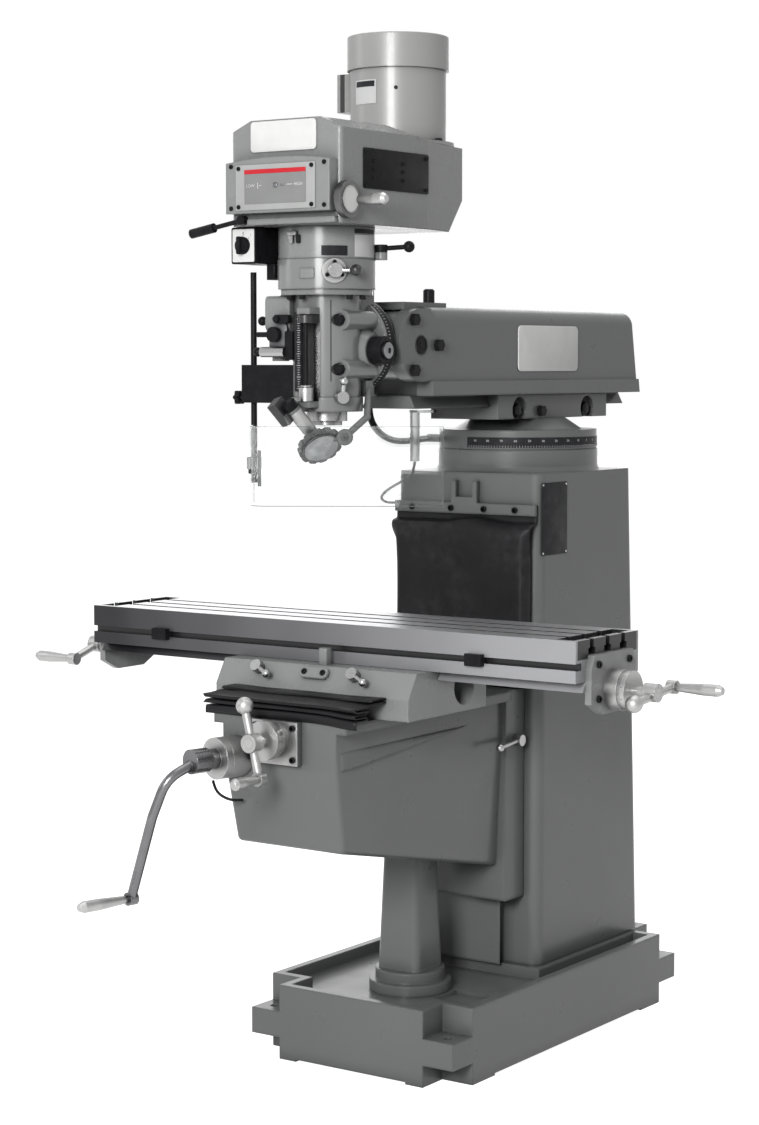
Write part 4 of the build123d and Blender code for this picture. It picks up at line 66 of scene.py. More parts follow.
class Finish:
    """One material and short ways to add its nodes."""

    def __init__(self, name, color, rough, metal=0.0):
        self.material = bpy.data.materials.new(name)
        self.material.use_nodes = True
        self.tree = self.material.node_tree
        self.shader = self.tree.nodes["Principled BSDF"]
        self.set("Base Color", (*color, 1))
        self.set("Roughness", rough)
        self.set("Metallic", metal)
        self.color = color
        self.normal = None

    def feed(self, socket, value):
        if isinstance(value, bpy.types.NodeSocket):
            self.tree.links.new(value, socket)
        else:
            socket.default_value = value

    def set(self, name, value):
        """Gives the shader's socket a value or a link."""
        self.feed(self.shader.inputs[name], value)

    def node(self, kind, **sockets):
        made = self.tree.nodes.new(kind)
        for key, value in sockets.items():
            self.feed(made.inputs[key.replace("_", " ")], value)
        return made

    def noise(self, scale, detail=3.0, stretch=(1, 1, 1)):
        coord = self.node("ShaderNodeTexCoord")
        spread = self.node("ShaderNodeMapping", Vector=coord.outputs["Object"], Scale=stretch)
        made = self.node("ShaderNodeTexNoise", Vector=spread.outputs[0], Scale=scale, Detail=detail)
        return made.outputs["Fac"]

    def math(self, how, a, b=0.0):
        made = self.node("ShaderNodeMath")
        made.operation = how
        self.feed(made.inputs[0], a)
        self.feed(made.inputs[1], b)
        return made.outputs[0]

    def either(self, a, b):
        return self.math("MAXIMUM", a, b)

    def band(self, value, low, high, out_low=0.0, out_high=1.0):
        made = self.node("ShaderNodeMapRange", Value=value, From_Min=low, From_Max=high, To_Min=out_low,
                         To_Max=out_high)
        return made.outputs[0]

    def mix(self, fac, a, b, how="MIX"):
        made = self.node("ShaderNodeMix")
        made.data_type = "RGBA"
        made.blend_type = how
        self.feed(made.inputs[0], fac)
        self.feed(made.inputs[6], a if isinstance(a, bpy.types.NodeSocket) else (*a, 1))
        self.feed(made.inputs[7], b if isinstance(b, bpy.types.NodeSocket) else (*b, 1))
        return made.outputs[2]

    def drift(self, color, scale, detail, low, high, span=NOISE_CORE):
        """A colour that wanders between two shades of itself."""
        return self.mix(self.band(self.noise(scale, detail), *span), shade(color, low), shade(color, high))

    def reach(self, middle, way):
        """Distance along a direction from a point given in millimetres."""
        coord = self.node("ShaderNodeTexCoord")
        moved = self.node("ShaderNodeVectorMath", Vector=coord.outputs["Object"])
        moved.operation = "SUBTRACT"
        moved.inputs[1].default_value = Vector(middle) * MM
        along = self.node("ShaderNodeVectorMath", Vector=moved.outputs[0])
        along.operation = "DOT_PRODUCT"
        along.inputs[1].default_value = Vector(way).normalized()
        return along.outputs["Value"]

    def between(self, value, low, high):
        """1 where the value lies between two sizes in millimetres."""
        above = self.math("GREATER_THAN", value, low * MM)
        return self.math("MULTIPLY", above, self.math("LESS_THAN", value, high * MM))

    def inside(self, x=None, y=None, z=None):
        """1 inside a box; a side left out is open."""
        mask = 1.0
        for span, way in ((x, RIGHT), (y, BACK), (z, UP)):
            if span:
                mask = self.math("MULTIPLY", mask, self.between(self.reach(ORIGIN, way), *span))
        return mask

    def grime(self, color, reach=0.035, depth=0.45):
        """Painted shade: darkens a colour in corners and gaps, where an occlusion node finds little open
        space.
        """
        hidden = self.node("ShaderNodeAmbientOcclusion", Distance=reach)
        hidden.samples = PAINTED_SHADE_SAMPLES
        return self.mix(1.0, color, self.band(hidden.outputs["AO"], *PAINTED_SHADE_SPAN, depth, 1.0), "MULTIPLY")

    def tint(self, color):
        self.set("Base Color", color)

    def gloss(self, level, low, high, span=NOISE_MIDDLE):
        """Roughness that follows a noise."""
        self.set("Roughness", self.band(level, *span, low, high))

    def soften(self, radius):
        """Small round along every hard edge."""
        made = self.node("ShaderNodeBevel", Radius=radius)
        made.samples = EDGE_SAMPLES
        self.normal = made.outputs[0]
        self.set("Normal", self.normal)

    def bump(self, height, depth):
        """Last step of a finish: its relief. Gives back the material."""
        made = self.node("ShaderNodeBump", Height=height, Strength=1.0, Distance=depth)
        if self.normal is not None:
            self.feed(made.inputs["Normal"], self.normal)
        self.set("Normal", made.outputs[0])
        return self.material


# Finishes
def enamel(name, color, rough, edge, skin=0.00016, metal=0.0, coat=0.1):
    """Machine paint: slight drift of colour, painted shade in corners and gaps, orange peel and softened
    casting edges.
    """
    f = Finish(name, color, rough, metal)
    # The colour drifts at random and gets painted shade in its corners and gaps.
    f.tint(f.grime(f.drift(color, 1.7, 2.0, 0.95, 1.05)))
    f.gloss(f.noise(14.0), rough - 0.04, rough + 0.05)
    f.set("Specular IOR Level", 0.22)
    f.set("Coat Weight", coat)
    f.set("Coat Roughness", 0.12)
    f.soften(edge)
    return f.bump(f.noise(330.0, 2.0), skin)


def plate(name, color, rough=0.5):
    """Thin printed or painted plate with a matt face."""
    f = Finish(name, color, rough)
    f.set("Specular IOR Level", 0.3)
    f.tint(f.drift(color, 22.0, 4.0, 0.96, 1.03))
    f.gloss(f.noise(120.0), rough - 0.06, rough + 0.06)
    f.soften(0.0008)
    return f.bump(f.noise(600.0, 2.0), 0.00002)


def machined(name, color, rough, edge=0.0012, scale=500.0, depth=0.00003):
    """Bare metal with fine tool marks and painted shade in its corners and gaps."""
    f = Finish(name, color, rough, 1.0)
    lines = f.noise(scale, 2.0)
    # Painted shade, lighter than on the paint, darkens corners and gaps.
    f.tint(f.grime(f.drift(color, 9.0, 4.0, 1.0, 0.85, (0.4, 0.72)), 0.025, 0.2))
    f.gloss(lines, rough - 0.05, rough + 0.09)
    f.soften(edge)
    return f.bump(lines, depth)


def blackened(name, color, rough, edge=0.0012, speck=900.0):
    """Oiled black metal or moulded black."""
    f = Finish(name, color, rough)
    f.set("Specular IOR Level", 0.06)
    f.tint(f.drift(color, 40.0, 4.0, 1.0, 1.6, (0.45, 0.75)))
    f.gloss(f.noise(25.0), rough - 0.08, rough + 0.08)
    f.soften(edge)
    return f.bump(f.noise(speck, 2.0), 0.00006)


def two_tone(name, under, over, mask_of):
    """Two finishes on one solid, the second where the mask is 1.

    Each is a colour, a roughness and a metal share. Corners and gaps get painted shade.
    """
    f = Finish(name, *under)
    mask = mask_of(f)
    low, high = [f.drift(tone[0], 26.0, 3.0, 0.93, 1.06) for tone in (under, over)]
    # Painted shade darkens both finishes in corners and gaps.
    f.tint(f.grime(f.mix(mask, low, high), 0.025, 0.25))
    grain = f.noise(300.0, 2.0)
    rough = f.band(mask, 0, 1, under[1], over[1])
    f.set("Roughness", f.math("ADD", rough, f.band(grain, *NOISE_MIDDLE, -0.05, 0.06)))
    f.set("Metallic", f.band(mask, 0, 1, under[2], over[2]))
    f.soften(0.002)
    return f.bump(grain, 0.00003)


def where(x=None, y=None, z=None):
    """A mask that is 1 inside a box."""
    return lambda f: f.inside(x, y, z)


def sheet_rubber():
    """Black rubber with grey dust and scuffs."""
    f = Finish("sheet_rubber", (0.011, 0.011, 0.012), 0.45)
    f.set("Specular IOR Level", 0.15)
    clouds = f.band(f.noise(5.0, 6.0), 0.5, 0.72)
    specks = f.band(f.noise(45.0, 5.0), 0.4, 0.7)
    dust = f.math("MULTIPLY", f.math("MULTIPLY", clouds, specks), 0.22)
    f.tint(f.mix(dust, f.color, (0.1, 0.102, 0.105)))
    f.gloss(f.noise(12.0, 4.0), 0.36, 0.6)
    return f.bump(f.noise(160.0, 3.0), 0.0003)


def clear_sheet(name, tone, rough, see_through, painted_rim_of=None):
    """Clear plastic; its rim, where given, is painted as a grey, less clear line: painted shade for the line
    that light draws at a clear sheet's edge.
    """
    f = Finish(name, tone, rough)
    f.set("Transmission Weight", 0.85)
    f.set("IOR", 1.45)
    f.gloss(f.noise(30.0, 5.0), rough, rough + 0.07, (0.5, 0.8))
    f.set("Alpha", see_through)
    if painted_rim_of:
        rim = painted_rim_of(f)
        # Painted shade: the rim is tinted darker and made less clear.
        f.tint(f.mix(rim, tone, shade(tone, 0.55)))
        f.set("Alpha", f.band(rim, 0, 1, see_through, 0.85))
    return f.material


INK = (0.02, 0.02, 0.02)
MARK_SHARE = 0.16
SHORT_MARK = 0.45
TALL_MARK = 0.8


def graduated(name, ground, middle, out, side, count, spans):
    """Turned dials with engraved marks round one axis, every tenth longer.

    Spans run from a dial's foot to its face.
    """
    f = Finish(name, *ground)
    up = Vector(out).cross(Vector(side))
    turn = f.math("ARCTAN2", f.reach(middle, up), f.reach(middle, side))
    steps = f.math("MULTIPLY", f.math("ADD", f.math("DIVIDE", turn, 2 * math.pi), 1.0), count)
    off = f.math("ABSOLUTE", f.math("SUBTRACT", f.math("FRACT", steps), 0.5))
    tenth = f.math("LESS_THAN", f.math("FRACT", f.math("DIVIDE", steps, 10)), 0.1)
    height = f.reach(middle, out)
    marks = 0.0
    for low, high in spans:
        short = f.between(height, *sorted((low, low + SHORT_MARK * (high - low))))
        tall = f.between(height, *sorted((low, low + TALL_MARK * (high - low))))
        marks = f.either(marks, f.either(short, f.math("MULTIPLY", tall, tenth)))
    mask = f.math("MULTIPLY", f.math("LESS_THAN", off, MARK_SHARE), marks)
    f.tint(f.mix(mask, ground[0], INK))
    f.soften(0.001)
    return f.bump(f.noise(500.0, 2.0), 0.00002)


# Colours, and finishes as a colour, a roughness and a metal share
GREY = (0.122, 0.126, 0.124)
PALE = (0.215, 0.219, 0.217)
BLACK = (0.014, 0.014, 0.015)
STEEL = ((0.37, 0.37, 0.37), 0.28, 1.0)
SATIN = ((0.4, 0.4, 0.397), 0.4, 1.0)
DARK_STEEL = ((0.16, 0.16, 0.165), 0.28, 1.0)
DIAL_STEEL = ((0.13, 0.13, 0.13), 0.35, 1.0)
OILED = (BLACK, 0.36, 0.0)
PAINTED = (GREY, 0.36, 0.0)
PALE_PAINT = (PALE, 0.4, 0.0)
BOX_PAINT = ((0.26, 0.26, 0.257), 0.4, 0.4)
LAMP_GREY = ((0.13, 0.132, 0.134), 0.4, 0.0)

# Places on the solids, in millimetres
SHAFT_FOOT = (0, -258, 720)
SHAFT_WAY = (-0.22495, -0.97437, 0)
BARE_SHAFT = (554, 702)
# Span along X over which the table's sides are painted from dark to light, a painted reflection
PAINTED_SHEEN_X = (-0.67, 0.6)  # metres
TABLE_ENDS = (-689, 613)
LANDS_Z = (988.8, 992)
SLOTS_Y, SLOTS_Z = (-545, -305), (950, 988.8)
GROOVE_Y, GROOVE_Z = (-551.6, -530), (929, 944)
CROSS_DIAL = (0, -775, 768)
LEAD_DIAL = (0, -425, 881.3)


def ground_table():
    """Dark oiled sides with grinding lines and a painted reflection that lightens them towards the right end,
    painted shade in the stop groove and the T-slots, and bright lands on top.
    """
    f = Finish("ground_table_steel", (0.09, 0.092, 0.104), 0.3, 1.0)
    lines = f.noise(700.0, 2.0, (0.03, 1, 1))
    cloud = f.band(f.noise(2.1, 3.0, (1, 0.3, 0.3)), *NOISE_MIDDLE, -0.15, 0.15)
    # Painted reflection: the sides grow lighter from the left end to the right, on top of a random cloud.
    bright = f.math("ADD", cloud, f.band(f.reach(ORIGIN, RIGHT), *PAINTED_SHEEN_X))
    sides = f.mix(bright, (0.013, 0.0128, 0.015), (0.3, 0.301, 0.314))
    # Painted shade: the stop groove and the T-slots are coloured near black where shade falls in them.
    dark = f.either(f.inside(y=GROOVE_Y, z=GROOVE_Z), f.inside(y=SLOTS_Y, z=SLOTS_Z))
    lands = f.inside(z=LANDS_Z)
    f.tint(f.mix(lands, f.mix(dark, sides, (0.012, 0.012, 0.013)), (0.4, 0.4, 0.41)))
    f.set("Metallic", f.band(lands, 0, 1, 0.3, 1.0))
    f.gloss(lines, 0.33, 0.42)
    f.soften(0.0016)
    return f.bump(lines, 0.000008)


def guard_rim(f):
    """1 at the ends, top and foot of the clear guard, where its edge is painted in as shade."""
    ends = f.either(f.inside(x=(276, 290)), f.inside(x=(-182, -151)))
    return f.either(ends, f.either(f.inside(z=(1200, 1247)), f.inside(z=(1408, 1450))))


def off_bare_shaft(f):
    """1 on the ends of the elevating crank, off the bare stretch of its shaft."""
    return f.math("SUBTRACT", 1.0, f.between(f.reach(SHAFT_FOOT, SHAFT_WAY), *BARE_SHAFT))


def past_table_ends(f):
    return f.math("SUBTRACT", 1.0, f.inside(x=TABLE_ENDS))


finish = {
    "grey": enamel("grey_machine_enamel", GREY, 0.31, 0.008),
    "column": enamel("grey_column_enamel", GREY, 0.31, 0.011),
    "pale": enamel("pale_head_enamel", PALE, 0.27, 0.006),
    "wet": enamel("glossy_head_enamel", shade(PALE, 0.9), 0.2, 0.006, skin=0.0001, coat=0.32),
    "silver": enamel("silver_motor_paint", (0.29, 0.29, 0.287), 0.38, 0.004, skin=0.0001, metal=0.1),
    "ground": ground_table(),
    "bright": machined("bright_turned_steel", *STEEL[:2]),
    "satin": machined("satin_cast_aluminium", *SATIN[:2], 0.002, 260.0, 0.00006),
    "dull_steel": machined("dull_bar_steel", (0.2, 0.202, 0.21), 0.42),
    "black": blackened("black_oxide_steel", (0.01, 0.01, 0.011), 0.32),
    "plastic": blackened("black_moulding", (0.008, 0.008, 0.009), 0.34),
    "hose": blackened("black_hose", (0.012, 0.012, 0.013), 0.4),
    "cable": blackened("grey_cable_sleeve", (0.16, 0.16, 0.165), 0.45),
    "lamp": two_tone("grey_lamp_moulding", LAMP_GREY, OILED, where(x=(-60, -3), z=(1395, 1500))),
    "lens": blackened("frosted_lamp_lens", (0.36, 0.37, 0.37), 0.3, 0.001, 300.0),
    "rubber": sheet_rubber(),
    "clear": clear_sheet("clear_guard_sheet", (0.6, 0.62, 0.62), 0.03, 0.14, guard_rim),
    "milky": clear_sheet("milky_plug_body", (0.4, 0.41, 0.41), 0.3, 0.95),
    "white": plate("white_bare_plate", (0.62, 0.62, 0.61)),
    "light": plate("light_bare_plate", (0.5, 0.505, 0.5)),
    "panel": plate("panel_bare_plate", (0.33, 0.333, 0.33), 0.4),
    "label": plate("grey_panel_label", (0.2, 0.203, 0.201), 0.4),
    "red": plate("red_strip", (0.46, 0.012, 0.022)),
    "dark": blackened("dark_bare_plate", (0.02, 0.02, 0.022), 0.4),
    "quill": two_tone("quill_steel", STEEL, OILED, where(y=(-700, -622))),
    "elevating": two_tone("elevating_crank_steel", DARK_STEEL, SATIN, off_bare_shaft),
    "cross_plate": two_tone("cross_bracket_face", PAINTED, SATIN, where(y=(-790, -756.8))),
    "end_plate": two_tone("table_end_castings", PALE_PAINT, SATIN, past_table_ends),
    "range": two_tone("range_lever_steel", STEEL, OILED, where(x=(108, 140))),
    "terminal": two_tone("terminal_box_paint", BOX_PAINT, OILED, where(x=(-127, -115))),
    "speed_dial": two_tone("speed_dial_steel", DIAL_STEEL, SATIN, where(x=(156, 240))),
    "cross_dial": graduated("cross_feed_dial", SATIN, CROSS_DIAL, FRONT, RIGHT, 100, [(0, 22)]),
    "lead_dial": graduated("lead_screw_dials", SATIN, LEAD_DIAL, RIGHT, UP, 100, [(-716, -733), (640, 657)]),
}

NODE_FINISH = {
    "grey": ["base_casting", "elevating_pedestal", "turret", "ram", "apron_clamp_bar"],
    "wet": ["quill_housing", "ram_adapter", "lower_gear_housing"],
    "column": ["column", "knee"],
    "pale": ["upper_gear_housing", "belt_housing", "speed_panel", "saddle", "feed_gear_cover"],
    "silver": ["motor_frame", "motor_cap"],
    "terminal": ["motor_terminal_box"],
    "ground": ["table"],
    "quill": ["quill"],
    "bright": ["spindle", "elevating_screw", "table_lock_lever_left", "table_lock_lever_right",
               "knee_lock_lever", "quill_lock_lever", "depth_stop_nut", "spindle_pulley", "motor_rotor"],
    "range": ["gear_range_lever"],
    "cross_dial": ["cross_feed_screw"],
    "lead_dial": ["lead_screw"],
    "satin": ["table_cranks", "cross_feed_crank", "elevating_bracket"],
    "speed_dial": ["speed_dial"],
    "cross_plate": ["cross_feed_bracket"],
    "end_plate": ["table_end_brackets"],
    "elevating": ["elevating_crank"],
    "black": ["ram_pinion", "ram_clamp_bolts", "head_clamp_bolts", "depth_stop_rod", "guard_clamp_block",
              "guard_rod", "quill_feed_hub", "table_stops", "brake_lever", "feed_rate_lever"],
    "plastic": ["switch_box", "switch_knob", "feed_engage_knob"],
    "lamp": ["work_lamp"],
    "clear": ["guard_shield"],
    "milky": ["cable_connector"],
    "rubber": ["drive_belt"],
}
for kind, names in NODE_FINISH.items():
    for name in names:
        for slot in nodes[name].material_slots:
            slot.material = finish[kind]


# Piece helpers
def add(name, data):
    """A new object in the scene."""
    obj = bpy.data.objects.new(name, data)
    bpy.context.scene.collection.objects.link(obj)
    return obj


def mesh_from(name, data):
    """The mesh of a curve or text, without the object that made it."""
    obj = add(name, data)
    mesh = bpy.data.meshes.new_from_object(obj)
    bpy.data.objects.remove(obj)
    return mesh


def mesh_of(name, bm):
    mesh = bpy.data.meshes.new(name)
    bm.to_mesh(mesh)
    bm.free()
    return mesh


def put(name, bm, kind, body, smooth=35.0):
    """An object of the scene that rides on a body; its slot follows its finish."""
    mesh = mesh_of(name, bm)
    obj = add(name, mesh)
    mesh.materials.append(finish[kind])
    mesh.shade_smooth()
    mesh.set_sharp_from_angle(angle=math.radians(smooth))
    if body:
        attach(obj, body)
    return obj


def line_of(name, route):
    """Points of a smooth curve along a route given in millimetres."""
    data = bpy.data.curves.new(name, "CURVE")
    data.dimensions = "3D"
    data.resolution_u = 8
    spline = data.splines.new("NURBS")
    spline.points.add(len(route) - 1)
    for point, (x, y, z) in zip(spline.points, route):
        point.co = (x * MM, y * MM, z * MM, 1)
    spline.order_u = 3
    spline.use_endpoint_u = True
    mesh = mesh_from(name, data)
    points = [v.co.copy() for v in mesh.vertices]
    bpy.data.meshes.remove(mesh)
    return points


def bridge(bm, lower, upper):
    """Faces between two rings of points."""
    edges = [e for e in bm.edges if all(v in lower for v in e.verts)]
    edges += [e for e in bm.edges if all(v in upper for v in e.verts)]
    bmesh.ops.bridge_loops(bm, edges=edges)


def round_edges(bm, edges, offset, segments=2):
    bmesh.ops.bevel(bm, geom=edges, offset=offset, segments=segments, profile=0.5, affect="EDGES",
                    material=-1)


def face_out(bm):
    bmesh.ops.recalc_face_normals(bm, faces=bm.faces)
    return bm


def tube_along(points, radius, sides=16):
    """A round tube that follows the points, with closed ends."""
    bm = bmesh.new()
    end = len(points) - 1
    last = None
    side = None
    for i, p in enumerate(points):
        ahead = (points[min(i + 1, end)] - points[max(i - 1, 0)]).normalized()
        if side is None:
            side = ahead.orthogonal().normalized()
        side = (side - ahead * side.dot(ahead)).normalized()
        turn = Matrix((side, ahead.cross(side), ahead)).transposed().to_4x4()
        ring = bmesh.ops.create_circle(bm, segments=sides, radius=radius, cap_ends=i in (0, end),
                                       matrix=Matrix.Translation(p) @ turn)["verts"]
        if last:
            bridge(bm, last, ring)
        last = ring
    return face_out(bm)


# Cords
CONDUIT_ROUTE = [(-106, -268, 1455.8), (-106, -266.5, 1430), (-109, -252, 1406), (-115, -222, 1387),
                 (-126, -180, 1373), (-141, -130, 1364), (-157, -75, 1359), (-170, -18, 1358),
                 (-177, 38, 1360), (-178, 85, 1362)]
CABLE_ROUTE = [(-105, -87, 1313.8), (-107, -88, 1296), (-119, -92, 1279), (-138, -97, 1266),
               (-159, -101, 1255), (-178, -102, 1243), (-193, -96, 1232), (-202, -80, 1223),
               (-206, -58, 1216), (-206.6, -34, 1213.6), (-207, -10, 1213.1), (-207, 14, 1213)]


def make_cord(name, route, radius, kind, node):
    points = line_of(name + "_line", route)
    obj = put(name, tube_along(points, radius * MM), kind, None)
    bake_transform(obj)
    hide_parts(node)


make_cord("motor_conduit_hose", CONDUIT_ROUTE, 7.5, "hose", "motor_conduit")
make_cord("signal_cable_sleeve", CABLE_ROUTE, 3.0, "cable", "signal_cable")


# Forms: drawn in millimetres about Z, then laid in place in metres
def laid(bm, place, out=UP, up=None):
    """Turns the form's Z to out and its Y towards up, and moves it to its place."""
    up = up or (BACK if out in (UP, DOWN) else UP)
    z = Vector(out).normalized()
    x = Vector(up).cross(z).normalized()
    turn = Matrix((x, z.cross(x), z)).transposed().to_4x4()
    matrix = Matrix.Translation(Vector(place) * MM) @ turn @ Matrix.Scale(MM, 4)
    bmesh.ops.transform(bm, matrix=matrix, verts=bm.verts)
    return bm


def joined(forms):
    """One mesh of several forms."""
    whole = bmesh.new()
    for form in forms:
        mesh = mesh_of("form", form)
        whole.from_mesh(mesh)
        bpy.data.meshes.remove(mesh)
    return whole


def mark(width, length, height=0.5):
    """A plain printed stroke."""
    bm = bmesh.new()
    bmesh.ops.create_cube(bm, size=1)
    bmesh.ops.scale(bm, vec=(width, length, height), verts=bm.verts)
    return bm


def slab(width, length, height, corner=0.0, edge=0.6):
    """A plate with round corners and softened rims, standing on Z 0."""
    edge = min(edge, 0.4 * height)
    bm = mark(width, length, height)
    bmesh.ops.translate(bm, vec=(0, 0, height / 2), verts=bm.verts)
    if corner:
        upright = [e for e in bm.edges if abs(e.verts[0].co.z - e.verts[1].co.z) > height / 2]
        round_edges(bm, upright, corner, 5)
    rim = [e for e in bm.edges if abs(e.verts[0].co.z - e.verts[1].co.z) < height / 2]
    round_edges(bm, rim, edge)
    return bm


def turned(profile, steps=40):
    """A lathe form from (radius, height) pairs that end on the axis or close a ring."""
    bm = bmesh.new()
    verts = [bm.verts.new((radius, 0, height)) for radius, height in profile]
    edges = [bm.edges.new(pair) for pair in zip(verts, verts[1:])]
    geom = verts + edges
    bmesh.ops.spin(bm, geom=geom, cent=ORIGIN, axis=UP, angle=2 * math.pi, steps=steps, use_merge=True)
    bmesh.ops.remove_doubles(bm, verts=bm.verts, dist=0.001)
    return face_out(bm)


def disc(radius, height, edge=0.8, steps=40):
    return turned([(0, 0), (radius, 0), (radius, height - edge), (radius - edge, height), (0, height)], steps)


def pin(radius, length):
    return disc(radius, length, steps=28)


def bent_bar(section, start, end, steps):
    """A bar round Z from angle start to end in degrees; section holds (radius, height) pairs."""
    bm = bmesh.new()
    face = bm.faces.new([bm.verts.new((radius, 0, height)) for radius, height in section])
    first = Matrix.Rotation(math.radians(start), 3, "Z")
    bmesh.ops.rotate(bm, cent=ORIGIN, matrix=first, verts=bm.verts)
    geom = [face, *face.edges, *face.verts]
    bmesh.ops.spin(bm, geom=geom, cent=ORIGIN, axis=UP, angle=math.radians(end - start), steps=steps)
    return face_out(bm)


def curved_plate(radius, thick, low, high, start, end):
    section = [(radius, low), (radius + thick, low), (radius + thick, high), (radius, high)]
    return bent_bar(section, start, end, max(8, round((end - start) / 2)))


# Rings of a cap screw from its foot to the floor of its hexagon hole: sides, share of radius and of height
SCREW_RINGS = ((20, 1.0, 0.0), (20, 1.0, 0.85), (20, 0.88, 1.0), (6, 0.55, 1.0), (6, 0.55, 0.35))


def socket_screw(radius, height):
    """Cap screw with its hexagon hole."""
    bm = bmesh.new()
    rings = []
    for sides, share, rise in SCREW_RINGS:
        floor = len(rings) == len(SCREW_RINGS) - 1
        ring = bmesh.ops.create_circle(bm, segments=sides, radius=radius * share, cap_ends=floor)["verts"]
        bmesh.ops.translate(bm, vec=(0, 0, height * rise), verts=ring)
        rings.append(ring)
    for lower, upper in zip(rings, rings[1:]):
        bridge(bm, lower, upper)
    return face_out(bm)


def hex_head(radius, height):
    bm = bmesh.new()
    bmesh.ops.create_cone(bm, cap_ends=True, segments=6, radius1=radius, radius2=radius, depth=height)
    bmesh.ops.translate(bm, vec=(0, 0, height / 2), verts=bm.verts)
    top = [e for e in bm.edges if all(v.co.z > height * 0.9 for v in e.verts)]
    round_edges(bm, top, radius * 0.1)
    return bm


def star_knob(radius, height, lobes=6):
    """Hand knob with lobes round its rim."""
    bm = bmesh.new()
    rim = bmesh.ops.create_circle(bm, segments=12 * lobes, radius=radius, cap_ends=True)["verts"]
    for v in rim:
        v.co *= 1 + 0.14 * math.cos(lobes * math.atan2(v.co.y, v.co.x))
    raised = bmesh.ops.extrude_face_region(bm, geom=bm.faces[:])["geom"]
    top = [g for g in raised if isinstance(g, bmesh.types.BMVert)]
    bmesh.ops.translate(bm, vec=(0, 0, height), verts=top)
    edges = [e for e in bm.edges if abs(e.verts[0].co.z - e.verts[1].co.z) < 0.01]
    round_edges(bm, edges, 0.12 * height)
    return face_out(bm)


def round_knob(radius):
    """Ball on a short neck."""
    steps = [math.radians(a) for a in range(-60, 91, 15)]
    ball = [(radius * math.cos(a), radius * (1.2 + math.sin(a))) for a in steps]
    return turned([(0, 0), (0.5 * radius, 0), *ball[:-1], (0, ball[-1][1])], 28)


def words(text, size):
    """Flat lettering about its own middle."""
    data = bpy.data.curves.new("words", "FONT")
    data.body = text
    data.size = size
    data.align_x = "CENTER"
    data.align_y = "CENTER"
    data.resolution_u = 2
    data.extrude = 0.08
    mesh = mesh_from("words", data)
    bm = bmesh.new()
    bm.from_mesh(mesh)
    bpy.data.meshes.remove(mesh)
    return bm


# Rubber sheets
APRON_LINE = [(0, -32, 1221), (0, -32.5, 1199), (0, -35, 1182), (0, -46, 1179), (0, -62, 1176),
              (0, -70.5, 1158), (0, -70, 1123), (0, -67, 1065), (0, -65, 970), (0, -64, 900),
              (0, -65, 830), (0, -66, 808)]
APRON_HALF = 190.0
APRON_T = 4.0
APRON_ROWS = 56
APRON_FOLD_X = 168.0
# Spans of the drop below the sheet's top edge over which a form starts or ends
ROLL_START, ROLL_END = (22, 48), (60, 170)
HANG_START, HANG_END = (60, 150), (300, 430)
EDGE_START = (30, 110)


def smooth_step(low, high, value):
    t = min(1.0, max(0.0, (value - low) / (high - low)))
    return t * t * (3 - 2 * t)


def thicken(obj, thick):
    modifier = obj.modifiers.new("thickness", "SOLIDIFY")
    modifier.thickness = thick * MM
    modifier.offset = 0.0


def make_apron():
    """Sheet clamped under the bar, rolled forward over a wavy fold, its side edges turned back."""
    line = line_of("apron_line", APRON_LINE)
    rows = len(line) - 1
    bm = bmesh.new()
    bmesh.ops.create_grid(bm, x_segments=APRON_ROWS, y_segments=rows, size=0.5)
    for v in bm.verts:
        x = 2 * APRON_HALF * v.co.x
        p = line[round((0.5 - v.co.y) * rows)] / MM
        drop = APRON_LINE[0][2] - p.z
        roll = smooth_step(*ROLL_START, drop) * (1 - smooth_step(*ROLL_END, drop))
        hang = smooth_step(*HANG_START, drop) * (1 - 0.7 * smooth_step(*HANG_END, drop))
        back = max(0.0, abs(x) - APRON_FOLD_X) * smooth_step(*EDGE_START, drop)
        y = p.y + 1.05 * back - 2.2 * hang * math.sin(x / 58 + drop / 120 + 0.8)
        y -= 1.4 * hang * math.sin(x / 31 - drop / 75)
        y -= 3.0 * roll * math.sin(x / 64 + 2.0)
        z = p.z + roll * (4.5 * math.sin(x / 47 + 0.9) + 2.2 * math.sin(x / 23))
        v.co = Vector((math.copysign(abs(x) - 0.55 * back, x), y, z)) * MM
    obj = put("rubber_apron_sheet", bm, "rubber", None, smooth=60)
    thicken(obj, APRON_T)
    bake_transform(obj)
    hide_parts("rubber_apron")


COVER_HALF = 196.0
COVER_T = 2.4
COVER_CUTS = 35
COVER_FOLD = 2.75
COVER_REAR_PITCH = 2.55
COVER_FRONT_Y = (-738.75, -703.5)
COVER_REAR_Y = (-681.75, -639.75)
COVER_FOOT_Z = 821.5
COVER_REAR_Z = 847.5
FRONT_LAYERS = 5
REAR_LAYERS = 3
REAR_FIRST = FRONT_LAYERS + 1


